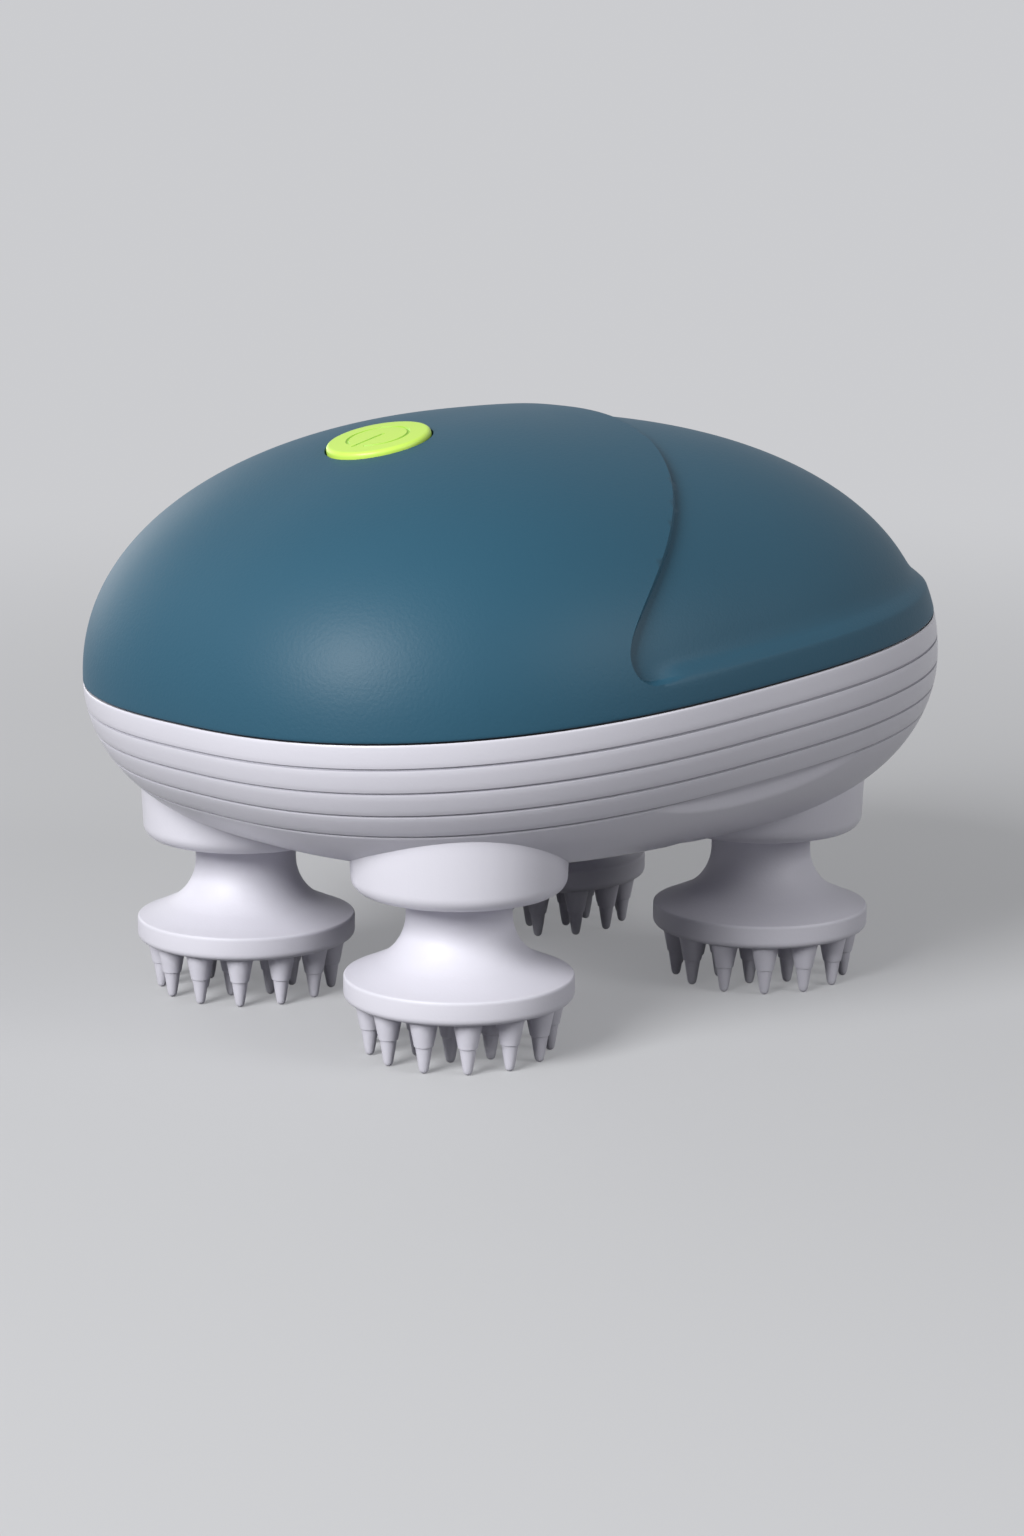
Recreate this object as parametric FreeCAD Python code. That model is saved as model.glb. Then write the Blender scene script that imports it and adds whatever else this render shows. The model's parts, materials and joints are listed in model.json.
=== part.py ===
import FreeCAD
import Part

import math
import os

# Cordless head massager: an egg-shaped body on four turning claw heads.
# Millimetres. +Z is up, the fingertips stand on z = 0, the button end is the front at -X.

V = FreeCAD.Vector
UP = V(0, 0, 1)

# Body form: level sections are superellipses, widest at the equator
body_length = 120.0
body_width = 96.0
flat_bottom_length = 69.6
plan_power = 2.55
dome_power = 2.15
equator_z = 45.0
dome_rise = 34.8
bowl_drop = 21.0
wall = 2.5

# Parting line between the two shells, rising towards the rear
parting_z = 47.9
parting_tilt = 4.0
parting_gap = 0.5
seal_inset = 0.7

# Grip recess in the rear of the upper shell
recess_depth = 1.2
ledge_rise = 3.8
recess_nose_x = -23.4
recess_nose_r = 3.2
recess_sweep = ((9.5, 36.0), (-5.5, 24.6), (-23.6, 13.8))

# Grooves round the lower shell, parallel to the parting line
groove_count = 4
groove_pitch = 3.3
groove_width = 0.4
groove_depth = 0.3

# Crescent flats in both flanks of the lower shell, under its last groove
flat_depth = 1.1
flat_lean = 18.6

# Head places: a rectangle whose diagonal is set by the gear train
drive_x = -2.5
head_spread_x = 28.6
gear_module = 1.0
sun_teeth = 52
head_teeth = 20
final_pinion_teeth = 12
fine_module = 0.5
wheel_teeth = 40
fine_pinion_teeth = 12
backlash = 0.16
tooth_addendum = 0.8
tooth_dedendum = 1.15
pressure_angle = 20.0

# Collars under the body
collar_r = 14.0
collar_top_r = 14.35
collar_bottom_z = 21.4
collar_edge_r = 2.0
collar_pocket_r = 7.4
collar_pocket_depth = 1.5

# Turning heads
hub_rim_r = 15.0
hub_rim_bottom_z = 7.1
hub_rim_top_z = 9.85
hub_rim_edge = 0.8
hub_rim_round = 0.4
hub_neck_r = 6.9
hub_neck_top_gap = 0.5
hub_cove_r = 11.0
hub_cove_bottom_z = 12.0
hub_cone_lean = 24.0
pad_r = 13.9
pad_thickness = 1.7
pad_seat_depth = 1.5
pad_seat_gap = 0.1
outer_fingers = 13
inner_fingers = 7
outer_finger_ring_r = 11.8
inner_finger_ring_r = 6.2
finger_base_r = 1.95
finger_step_r = 1.2
finger_step_z = 3.5
finger_tip_r = 0.6
finger_sides = 8
finger_root = 0.4
claw_turn = {"front_left": 11.5, "front_right": 4.8, "rear_left": 5.0, "rear_right": 0.0}

# Spindles, bushes and seals
spindle_r = 2.5
spindle_socket = 9.9
journal_r = 1.5
running_gap = 0.05
bush_r = 4.5
bush_boss_r = 7.0
seal_r = 5.5
seal_height = 2.0

# Gear layers, counted up from the bush bosses
bush_boss_top_z = 31.2
layer_gap = 0.8
main_gear_width = 5.0
fine_gear_width = 3.0
deck_gap = 1.2
deck_thickness = 2.5
deck_clearance = 1.0
gear_hub_wall = 1.8
sun_axle_r = 2.0
sun_boss_r = 5.0
idler_axle_r = 1.0
idler_hub_r = 3.2
idler_hub_gap = 0.6
idler_boss_r = 3.0

# Motor and its plate
motor_x = 10.0
motor_r = 12.2
motor_height = 12.5
motor_cap_r = 9.0
motor_cap_height = 2.4
motor_nose_r = 3.0
motor_nose_height = 1.2
motor_shaft_r = 1.0
motor_terminal = 1.6
plate_thickness = 2.0
plate_margin = 4.2
pillar_r = 3.0
pillar_front_x = 1.5
pillar_front_y = 16.5
pillar_rear_x = 38.0
pillar_rear_y = 13.5

# Battery on the deck
battery_length = 30.0
battery_width = 35.0
battery_height = 10.0
battery_rear_x = -3.5
battery_edge_r = 2.0
battery_rib = 1.4
battery_rib_height = 4.0
battery_rib_length = 8.0

# Screws
post_r = 3.2
socket_post_r = 4.4
post_front_x = -41.0
post_rear_x = 46.0
post_side_y = 34.0
screw_r = 1.5
screw_gap = 0.2
screw_head_r = 2.8
screw_head_height = 2.0
screw_head_gap = 0.3
screw_bite = 10.0
post_floor = 3.0
small_screw_r = 1.0
small_screw_head_r = 1.9
small_screw_head_height = 1.3
small_screw_bite = 5.0

# Power button, switch and control board
button_x = -25.5
button_r = 7.0
button_proud = 0.6
button_edge = 0.5
button_gap = 0.3
button_travel = 0.5
button_flange_r = 8.2
button_flange_depth = 3.6
button_flange_thickness = 1.0
button_stem_r = 2.4
button_stem_end = 6.2
plunger_r = 1.7
plunger_length = 2.4
switch_side = 6.0
switch_height = 3.5
switch_stem_gap = 0.3
switch_floor_gap = 0.1
board_length = 26.0
board_width = 24.0
board_thickness = 1.6
board_hole_inset = 3.0
board_post_r = 2.4

# Charging contacts in the rear of the lower shell
charge_z = 45.2
charge_width = 15.0
charge_height = 7.0
charge_setback = 0.9
charge_depth = 4.0
charge_lip = 1.5
charge_corner_r = 3.4
contact_r = 1.5
contact_spacing = 7.0
contact_length = 7.0

# Worked-out sizes
reach = 2 * body_length
bottom_z = equator_z - bowl_drop
draw_in = 1 - flat_bottom_length / body_length
parting_slope = math.tan(math.radians(parting_tilt))
centre_distance = gear_module * (sun_teeth + head_teeth) / 2
head_spread_y = math.sqrt(centre_distance ** 2 - head_spread_x ** 2)
main_z = bush_boss_top_z + layer_gap
deck_z = main_z + main_gear_width + deck_gap
deck_top_z = deck_z + deck_thickness
second_z = deck_top_z + layer_gap
first_z = second_z + fine_gear_width + layer_gap
plate_z = first_z + fine_gear_width + deck_gap
plate_top_z = plate_z + plate_thickness
pad_bottom_z = hub_rim_bottom_z + pad_seat_depth - pad_thickness
hub_top_z = collar_bottom_z + collar_pocket_depth - hub_neck_top_gap
seal_z = collar_bottom_z + collar_pocket_depth
floor_z = bottom_z + wall
charge_face_x = body_length / 2 - charge_setback
final_pinion_x = drive_x + gear_module * (sun_teeth + final_pinion_teeth) / 2
fine_distance = fine_module * (wheel_teeth + fine_pinion_teeth) / 2
half_span = (final_pinion_x - motor_x) / 2
first_idler = V(motor_x + half_span, -math.sqrt(fine_distance ** 2 - half_span ** 2), 0)
second_idler = V(final_pinion_x, 0, 0)
motor_centre = V(motor_x, 0, 0)
sun_centre = V(drive_x, 0, 0)
heads = {
    "front_left": V(drive_x - head_spread_x, -head_spread_y, 0),
    "front_right": V(drive_x - head_spread_x, head_spread_y, 0),
    "rear_left": V(drive_x + head_spread_x, -head_spread_y, 0),
    "rear_right": V(drive_x + head_spread_x, head_spread_y, 0),
}
posts = [
    V(post_front_x, 0, 0),
    V(post_rear_x, 0, 0),
    V(drive_x, -post_side_y, 0),
    V(drive_x, post_side_y, 0),
]
pillars = [
    V(pillar_front_x, -pillar_front_y, 0),
    V(pillar_rear_x, -pillar_rear_y, 0),
    V(pillar_rear_x, pillar_rear_y, 0),
    V(pillar_front_x, pillar_front_y, 0),
]


def cylinder(radius, z_low, z_high, centre=V(0, 0, 0)):
    """Upright cylinder between two heights."""
    return Part.makeCylinder(radius, z_high - z_low, V(centre.x, centre.y, z_low))


def tube(outer, inner, z_low, z_high, centre=V(0, 0, 0)):
    """Upright ring between two heights."""
    return cylinder(outer, z_low, z_high, centre).cut(cylinder(inner, z_low, z_high, centre))


def turned(outline):
    """Solid turned about Z from a closed list of edges in the XZ plane."""
    wire = Part.Wire(Part.__sortEdges__(outline))
    return Part.Face(wire).revolve(V(0, 0, 0), UP, 360)


def chain(points):
    """Straight edges along a list of (radius, height) points."""
    corners = [V(r, 0, z) for r, z in points]
    return [Part.makeLine(a, b) for a, b in zip(corners, corners[1:])]


def arc(start, middle, end):
    """Arc through three (radius, height) points."""
    return Part.Arc(*[V(r, 0, z) for r, z in (start, middle, end)]).toShape()


def plan_outline(half_length, half_width, z, points=28):
    """Closed superellipse at one height."""
    ring = []
    for i in range(points):
        turn = 2 * math.pi * i / points
        c = abs(math.cos(turn) / half_length) ** plan_power
        s = abs(math.sin(turn) / half_width) ** plan_power
        radius = (c + s) ** (-1 / plan_power)
        ring.append(V(radius * math.cos(turn), radius * math.sin(turn), z))
    curve = Part.BSplineCurve()
    curve.interpolate(Points=ring, PeriodicFlag=True)
    return Part.Wire(curve.toShape())


def bowl_share(z, inset):
    """Share of the equator's plan that is left at a height below it."""
    sine = min(1.0, (equator_z - z) / (bowl_drop - inset))
    return 1 - draw_in * (1 - math.sqrt(1 - sine ** 2))


def egg(inset, bowl_steps=5, dome_steps=8):
    """The whole body's form, drawn in all round by inset."""
    half_length = body_length / 2 - inset
    half_width = body_width / 2 - inset
    sections = []
    for step in range(bowl_steps, -1, -1):
        z = equator_z - (bowl_drop - inset) * math.sin(math.radians(90 * step / bowl_steps))
        share = bowl_share(z, inset)
        sections.append(plan_outline(half_length * share, half_width * share, z))
    for step in range(1, dome_steps):
        turn = math.radians(90 * step / dome_steps)
        share = math.cos(turn) ** (2 / dome_power)
        z = equator_z + (dome_rise - inset) * math.sin(turn) ** (2 / dome_power)
        sections.append(plan_outline(half_length * share, half_width * share, z))
    sections.append(Part.Vertex(0, 0, equator_z + dome_rise - inset))
    return Part.makeLoft(sections, True)


def beside_parting(low, high):
    """Slab between two distances above the sloping parting plane."""
    slab = Part.makeBox(reach, reach, high - low, V(-reach / 2, -reach / 2, low))
    slab.rotate(V(0, 0, 0), V(0, 1, 0), -parting_tilt)
    slab.translate(V(0, 0, parting_z))
    return slab


def dome_place(x):
    """Frame on the dome's centre line: its Z axis is the outward normal."""
    side = abs(x) / (body_length / 2)
    rise = (1 - side ** dome_power) ** (1 / dome_power)
    lean = math.copysign(side ** (dome_power - 1) / (body_length / 2), x)
    stand = rise ** (dome_power - 1) / dome_rise
    normal = V(lean, 0, stand)
    return FreeCAD.Placement(V(x, 0, equator_z + dome_rise * rise), FreeCAD.Rotation(UP, normal))


def ledge_z(x):
    """Height of the ledge line that runs above the parting line."""
    return parting_z + ledge_rise + parting_slope * x


def grip_region():
    """Prism across the body, behind the S-curve and above the ledge."""
    nose = V(recess_nose_x, 0, ledge_z(recess_nose_x) + recess_nose_r)
    corner_x = recess_nose_x + recess_nose_r
    corner = V(corner_x, 0, ledge_z(corner_x))
    heel = V(reach / 2, 0, ledge_z(reach / 2))
    bends = [V(x, 0, equator_z + rise) for x, rise in recess_sweep]
    crown = bends[0]
    sweep = Part.BezierCurve()
    sweep.setPoles(bends + [nose])
    bulge_x = recess_nose_x + recess_nose_r * (1 - math.sqrt(0.5))
    bulge = V(bulge_x, 0, ledge_z(bulge_x) + recess_nose_r * (1 - math.sqrt(0.5)))
    top = V(crown.x, 0, reach)
    far = V(reach / 2, 0, reach)
    edges = [
        sweep.toShape(),
        Part.Arc(nose, bulge, corner).toShape(),
        Part.makeLine(corner, heel),
        Part.makeLine(heel, far),
        Part.makeLine(far, top),
        Part.makeLine(top, crown),
    ]
    region = Part.Face(Part.Wire(edges)).extrude(V(0, reach, 0))
    region.translate(V(0, -reach / 2, 0))
    return region


def upper_shell(form, cavity, mid_wall, place):
    """Soft-touch cover with the grip recess, the button hole and its inside posts."""
    shell = form.common(beside_parting(parting_gap / 2, reach))
    shell = shell.cut(shell.common(grip_region()).cut(egg(recess_depth)))
    shell = shell.cut(cavity)
    studs = [cylinder(post_r, deck_top_z, equator_z + dome_rise, p) for p in posts]
    for x, y in board_holes():
        stud = cylinder(board_post_r, -board_top(), 0, V(x, y, 0))
        stud.Placement = place
        studs.append(stud)
    for stud in studs:
        shell = shell.fuse(stud.common(mid_wall))
    for p in posts:
        shell = shell.cut(cylinder(screw_r, deck_top_z, deck_top_z + screw_bite, p))
    for x, y in board_holes():
        hole = cylinder(small_screw_r, -board_top(), -board_top() + small_screw_bite, V(x, y, 0))
        hole.Placement = place
        shell = shell.cut(hole)
    hole = cylinder(button_r + button_gap, -2 * wall, 2 * wall)
    hole.Placement = place
    return shell.cut(hole)


def collar(centre):
    """Round boss under the body that a head turns in."""
    low = collar_bottom_z
    bend = collar_edge_r * (1 - math.sqrt(0.5))
    outline = chain([(0, low), (collar_r - collar_edge_r, low)])
    outline.append(
        arc(
            (collar_r - collar_edge_r, low),
            (collar_r - bend, low + bend),
            (collar_r, low + collar_edge_r),
        )
    )
    outline += chain(
        [
            (collar_r, low + collar_edge_r),
            (collar_top_r, bush_boss_top_z),
            (0, bush_boss_top_z),
            (0, low),
        ]
    )
    boss = turned(outline)
    boss.translate(centre)
    return boss


def flank_flat(side):
    """Leaning block that planes a crescent off one flank, below the last groove."""
    drop = groove_count * groove_pitch
    z = parting_z - drop / math.cos(math.radians(parting_tilt))
    face_y = bowl_share(z, 0) * body_width / 2 - flat_depth
    block = Part.makeBox(reach, reach, reach, V(-reach / 2, 0, -reach / 2))
    block.rotate(V(0, 0, 0), V(1, 0, 0), -flat_lean)
    block.translate(V(0, face_y, z))
    if side < 0:
        block = block.mirror(V(0, 0, 0), V(0, 1, 0))
    return block.cut(beside_parting(-drop, reach))


def lower_shell(form, cavity, mid_wall):
    """Glossy bowl with the collars, the grooves and everything the drive stands on."""
    shell = form.cut(beside_parting(-parting_gap / 2, reach))
    core = egg(groove_depth)
    for i in range(1, groove_count + 1):
        middle = -i * groove_pitch
        band = beside_parting(middle - groove_width / 2, middle + groove_width / 2)
        shell = shell.cut(form.common(band).cut(core))
    for side in (-1, 1):
        shell = shell.cut(flank_flat(side))
    for centre in heads.values():
        shell = shell.fuse(collar(centre))
    shell = shell.cut(cavity.cut(beside_parting(0, reach)))
    for p in posts:
        shell = shell.fuse(cylinder(socket_post_r, bottom_z, deck_z, p).common(mid_wall))
    shell = shell.fuse(cylinder(sun_boss_r, floor_z - wall / 2, bush_boss_top_z, sun_centre))
    shell = shell.fuse(cylinder(idler_boss_r, floor_z - wall / 2, bush_boss_top_z, second_idler))
    for centre in heads.values():
        shell = shell.fuse(cylinder(bush_boss_r, seal_z, bush_boss_top_z, centre))
        shell = shell.cut(cylinder(collar_pocket_r, 0, seal_z, centre))
        shell = shell.cut(cylinder(seal_r, seal_z, seal_z + seal_height, centre))
        shell = shell.cut(cylinder(bush_r, seal_z, bush_boss_top_z, centre))
    for p in posts:
        shell = shell.cut(cylinder(screw_r + screw_gap, 0, deck_z, p))
        shell = shell.cut(cylinder(screw_head_r + screw_head_gap, 0, screw_seat_z(p), p))
    shell = shell.cut(cylinder(sun_axle_r, floor_z, bush_boss_top_z, sun_centre))
    shell = shell.cut(cylinder(idler_axle_r, floor_z, bush_boss_top_z, second_idler))
    shell = shell.cut(charge_block(charge_depth, beyond=reach))
    return shell.cut(charge_block(charge_depth + wall, charge_lip))


def screw_seat_z(post):
    """Height of a shell screw's head seat, a fixed floor above the bowl at its post."""
    share = max(abs(post.x) / (body_length / 2), abs(post.y) / (body_width / 2))
    cosine = max(0.0, 1 - (1 - share) / draw_in)
    return equator_z - bowl_drop * math.sqrt(1 - cosine ** 2) + post_floor


def charge_block(depth, inset=0.0, beyond=0.0):
    """Rounded block let into the rear wall, from a depth behind the contact face."""
    width = charge_width - 2 * inset
    height = charge_height - 2 * inset
    start = V(charge_face_x - depth, -width / 2, charge_z - height / 2)
    block = Part.makeBox(depth + beyond, width, height, start)
    along = [e for e in block.Edges if e.Vertexes[0].Point.x != e.Vertexes[-1].Point.x]
    return block.makeFillet(charge_corner_r - inset, along)


def gear(teeth, module, z_low, width, centre, first_tooth):
    """Spur gear with straight-flanked teeth cut to the involute at tip and root."""
    pitch_r = module * teeth / 2
    slant = math.radians(pressure_angle)
    base_r = pitch_r * math.cos(slant)

    def half_angle(radius):
        lean = math.acos(base_r / max(radius, base_r))
        thick = math.pi / (2 * teeth) - backlash / (4 * pitch_r)
        return thick + (math.tan(slant) - slant) - (math.tan(lean) - lean)

    tip_r = pitch_r + tooth_addendum * module
    root_r = pitch_r - tooth_dedendum * module
    points = []
    for i in range(teeth):
        middle = math.radians(first_tooth) + 2 * math.pi * i / teeth
        for radius, side in ((root_r, -1), (tip_r, -1), (tip_r, 1), (root_r, 1)):
            angle = middle + side * half_angle(radius)
            points.append(V(radius * math.cos(angle), radius * math.sin(angle), z_low))
    points.append(points[0])
    blank = Part.Face(Part.makePolygon(points)).extrude(V(0, 0, width))
    blank.translate(centre)
    return blank


def meshed(centre_a, teeth_a, first_a, centre_b, teeth_b):
    """First-tooth angle of gear b, so that it meshes with gear a."""
    towards = math.degrees(math.atan2(centre_b.y - centre_a.y, centre_b.x - centre_a.x))
    return towards + 180 + 180 / teeth_b - (first_a - towards) * teeth_a / teeth_b


def drive_train():
    """The gears and axles between the motor and the heads, by node name."""
    made = {}
    sun_hub_r = sun_axle_r + running_gap + gear_hub_wall
    sun = gear(sun_teeth, gear_module, main_z, main_gear_width, sun_centre, 0)
    sun = sun.fuse(cylinder(sun_hub_r, bush_boss_top_z + running_gap, main_z, sun_centre))
    made["sun_gear"] = sun.cut(cylinder(sun_axle_r + running_gap, 0, deck_z, sun_centre))
    made["sun_axle"] = cylinder(sun_axle_r, floor_z, deck_top_z, sun_centre)

    second_first = meshed(sun_centre, sun_teeth, 0, second_idler, final_pinion_teeth)
    second = gear(
        final_pinion_teeth, gear_module, main_z, main_gear_width, second_idler, second_first
    )
    second = second.fuse(cylinder(idler_hub_r, main_z, second_z, second_idler))
    wheel = gear(wheel_teeth, fine_module, second_z, fine_gear_width, second_idler, second_first)
    bore = idler_axle_r + running_gap
    made["second_reduction_gear"] = second.fuse(wheel).cut(cylinder(bore, 0, plate_z, second_idler))
    made["second_gear_axle"] = cylinder(idler_axle_r, floor_z, plate_top_z, second_idler)

    first_first = meshed(second_idler, wheel_teeth, second_first, first_idler, fine_pinion_teeth)
    first = gear(
        fine_pinion_teeth, fine_module, second_z, fine_gear_width, first_idler, first_first
    )
    root_r = fine_module * (fine_pinion_teeth / 2 - tooth_dedendum)
    first = first.fuse(cylinder(root_r, second_z, first_z, first_idler))
    wheel = gear(wheel_teeth, fine_module, first_z, fine_gear_width, first_idler, first_first)
    made["first_reduction_gear"] = first.fuse(wheel).cut(cylinder(bore, 0, plate_z, first_idler))
    made["first_gear_axle"] = cylinder(idler_axle_r, deck_z, plate_top_z, first_idler)

    pinion_first = meshed(first_idler, wheel_teeth, first_first, motor_centre, fine_pinion_teeth)
    pinion = gear(
        fine_pinion_teeth, fine_module, first_z, fine_gear_width, motor_centre, pinion_first
    )
    made["motor_pinion"] = pinion.cut(cylinder(motor_shaft_r, 0, plate_z, motor_centre))
    shaft_top = plate_top_z + motor_height - running_gap
    made["motor_shaft"] = cylinder(motor_shaft_r, first_z, shaft_top, motor_centre)
    return made


def gear_deck():
    """Moulded plate that closes the main gears in and carries motor plate and battery."""
    share = bowl_share(deck_z, wall)
    half_length = (body_length / 2 - wall) * share - deck_clearance
    half_width = (body_width / 2 - wall) * share - deck_clearance
    deck = Part.Face(plan_outline(half_length, half_width, deck_z)).extrude(V(0, 0, deck_thickness))
    for p in pillars:
        deck = deck.fuse(cylinder(pillar_r, deck_top_z, plate_z, p))
        deck = deck.cut(cylinder(small_screw_r, plate_z - small_screw_bite, plate_z, p))
    low_x = battery_rear_x - battery_length
    for x in (low_x - battery_rib, battery_rear_x):
        for y in (-battery_width / 2, battery_width / 2 - battery_rib_length):
            rib = Part.makeBox(battery_rib, battery_rib_length, battery_rib_height, V(x, y, deck_top_z))
            deck = deck.fuse(rib)
    for centre in heads.values():
        deck = deck.cut(cylinder(journal_r + running_gap, deck_z, deck_top_z, centre))
    for p in posts:
        deck = deck.cut(cylinder(screw_r + screw_gap, deck_z, deck_top_z, p))
    deck = deck.cut(cylinder(sun_axle_r, deck_z, deck_top_z, sun_centre))
    deck = deck.cut(cylinder(idler_axle_r, deck_z, deck_top_z, first_idler))
    return deck.cut(cylinder(idler_hub_r + idler_hub_gap, deck_z, deck_top_z, second_idler))


def motor_plate():
    """Flat plate on the deck's pillars: it holds the motor and the tops of the axles."""
    outline = Part.makePolygon([V(p.x, p.y, plate_z) for p in pillars + pillars[:1]])
    plate = Part.Face(outline.makeOffset2D(plate_margin)).extrude(V(0, 0, plate_thickness))
    plate = plate.cut(cylinder(motor_nose_r, plate_z, plate_top_z, motor_centre))
    for p in pillars:
        plate = plate.cut(cylinder(small_screw_r, plate_z, plate_top_z, p))
    for centre in (first_idler, second_idler):
        plate = plate.cut(cylinder(idler_axle_r, plate_z, plate_top_z, centre))
    return plate


def motor():
    """Flat can motor that stands on its plate, shaft down."""
    top = plate_top_z + motor_height
    can = cylinder(motor_r, plate_top_z, top, motor_centre)
    can = can.fuse(cylinder(motor_nose_r, plate_top_z - motor_nose_height, plate_top_z, motor_centre))
    can = can.cut(cylinder(motor_shaft_r + running_gap, 0, top, motor_centre))
    cap = cylinder(motor_cap_r, top, top + motor_cap_height, motor_centre)
    for side in (-1, 1):
        tab = Part.makeBox(
            motor_terminal,
            motor_terminal / 2,
            motor_terminal * 2,
            V(
                motor_x - motor_terminal / 2,
                side * motor_cap_r / 2 - motor_terminal / 4,
                top + motor_cap_height,
            ),
        )
        cap = cap.fuse(tab)
    return {"motor_can": can, "motor_end_cap": cap}


def screw(radius, head_r, head_height, seat_z, tip_z, centre):
    """Pan-head screw that stands head down."""
    head = cylinder(head_r, seat_z - head_height, seat_z, centre)
    return head.fuse(cylinder(radius, seat_z, tip_z, centre))


def battery():
    """Flat rechargeable cell with rounded upright edges, lying on the deck."""
    cell = Part.makeBox(
        battery_length,
        battery_width,
        battery_height,
        V(battery_rear_x - battery_length, -battery_width / 2, deck_top_z),
    )
    upright = [e for e in cell.Edges if e.Vertexes[0].Point.z != e.Vertexes[-1].Point.z]
    return cell.makeFillet(battery_edge_r, upright)


def board_top():
    """Depth of the control board's upper face under the dome, along the button's axis."""
    return button_stem_end + button_travel + switch_stem_gap + switch_height


def board_holes():
    """Places of the control board's screws, in the button's frame."""
    x = board_length / 2 - board_hole_inset
    y = board_width / 2 - board_hole_inset
    return [(-x, -y), (x, -y), (x, y), (-x, y)]


def button_group(place):
    """Power button with its switch and board, built along the button's axis."""
    made = {}
    flange_top = -button_flange_depth
    bend = button_edge * (1 - math.sqrt(0.5))
    outline = chain(
        [
            (0, -button_stem_end),
            (button_stem_r, -button_stem_end),
            (button_stem_r, flange_top - button_flange_thickness),
            (button_flange_r, flange_top - button_flange_thickness),
            (button_flange_r, flange_top),
            (button_r, flange_top),
            (button_r, button_proud - button_edge),
        ]
    )
    outline.append(
        arc(
            (button_r, button_proud - button_edge),
            (button_r - bend, button_proud - bend),
            (button_r - button_edge, button_proud),
        )
    )
    outline += chain(
        [(button_r - button_edge, button_proud), (0, button_proud), (0, -button_stem_end)]
    )
    made["power_button"] = turned(outline)
    plunger_end = -button_stem_end - plunger_length
    made["switch_plunger"] = cylinder(plunger_r, plunger_end, -button_stem_end)
    board_z = -board_top()
    case = Part.makeBox(
        switch_side, switch_side, switch_height, V(-switch_side / 2, -switch_side / 2, board_z)
    )
    made["tact_switch"] = case.cut(
        cylinder(
            plunger_r + running_gap,
            plunger_end - button_travel - switch_floor_gap,
            board_z + switch_height,
        )
    )
    board = Part.makeBox(
        board_length,
        board_width,
        board_thickness,
        V(-board_length / 2, -board_width / 2, board_z - board_thickness),
    )
    screws = []
    for x, y in board_holes():
        board = board.cut(cylinder(small_screw_r, board_z - board_thickness, board_z, V(x, y, 0)))
        screws.append(
            screw(
                small_screw_r,
                small_screw_head_r,
                small_screw_head_height,
                board_z - board_thickness,
                board_z + small_screw_bite,
                V(x, y, 0),
            )
        )
    made["control_board"] = board
    made["board_screws"] = Part.makeCompound(screws)
    for shape in made.values():
        shape.Placement = place
    return made


def charge_contacts():
    """Contact plate in the rear wall and its two gilt contacts."""
    plate = charge_block(charge_depth).fuse(charge_block(charge_depth + wall, charge_lip))
    pins = []
    for side in (-1, 1):
        place = V(charge_face_x - contact_length, side * contact_spacing / 2, charge_z)
        pin = Part.makeCylinder(contact_r, contact_length, place, V(1, 0, 0))
        plate = plate.cut(pin)
        pins.append(pin)
    return {"charge_plate": plate, "charge_contacts": Part.makeCompound(pins)}


def claw_pad():
    """Soft pad with a ring of claw fingers and a smaller ring inside it."""
    pad = cylinder(pad_r, pad_bottom_z, hub_rim_bottom_z + pad_seat_depth)
    levels = (
        (finger_tip_r, 0),
        (finger_step_r, finger_step_z),
        (finger_base_r, pad_bottom_z + finger_root),
    )

    def finger(ring_r, turn):
        rings = []
        for radius, z in levels:
            corners = []
            for i in range(finger_sides + 1):
                a = 2 * math.pi * (i + 0.5) / finger_sides
                corners.append(V(ring_r + radius * math.cos(a), radius * math.sin(a), z))
            rings.append(Part.makePolygon(corners))
        claw = Part.makeLoft(rings, True, True)
        claw.rotate(V(0, 0, 0), UP, turn)
        return claw

    claws = [finger(outer_finger_ring_r, 360 * i / outer_fingers) for i in range(outer_fingers)]
    claws += [finger(inner_finger_ring_r, 360 * i / inner_fingers) for i in range(inner_fingers)]
    return pad.fuse(claws)


def head_hub():
    """Mushroom hub: a neck that flares into a thick rim."""
    socket_z = hub_top_z - spindle_socket
    seat_z = hub_rim_bottom_z + pad_seat_depth
    seat_r = pad_r + pad_seat_gap
    lean = math.radians(hub_cone_lean)
    bend = math.pi / 2 - lean
    cove_bend_r = (hub_cove_r - hub_neck_r) / (1 - math.cos(bend))
    cove_top_z = hub_cove_bottom_z + cove_bend_r * math.sin(bend)
    cove_middle = (
        hub_neck_r + cove_bend_r * (1 - math.cos(bend / 2)),
        cove_top_z - cove_bend_r * math.sin(bend / 2),
    )
    cone_r = hub_rim_r - hub_rim_round
    cone_z = hub_cove_bottom_z - math.tan(lean) * (cone_r - hub_cove_r)
    edge_middle = (hub_rim_r - hub_rim_round / 3, (hub_rim_top_z + 2 * cone_z) / 3)
    outline = chain([(0, seat_z), (0, socket_z), (spindle_r, socket_z), (spindle_r, hub_top_z)])
    outline += chain([(spindle_r, hub_top_z), (hub_neck_r, hub_top_z), (hub_neck_r, cove_top_z)])
    outline.append(
        arc((hub_neck_r, cove_top_z), cove_middle, (hub_cove_r, hub_cove_bottom_z))
    )
    outline += chain([(hub_cove_r, hub_cove_bottom_z), (cone_r, cone_z)])
    outline.append(arc((cone_r, cone_z), edge_middle, (hub_rim_r, hub_rim_top_z)))
    outline += chain(
        [
            (hub_rim_r, hub_rim_top_z),
            (hub_rim_r, hub_rim_bottom_z + hub_rim_edge),
            (hub_rim_r - hub_rim_edge, hub_rim_bottom_z),
            (seat_r, hub_rim_bottom_z),
            (seat_r, seat_z),
            (0, seat_z),
        ]
    )
    return turned(outline)


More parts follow.
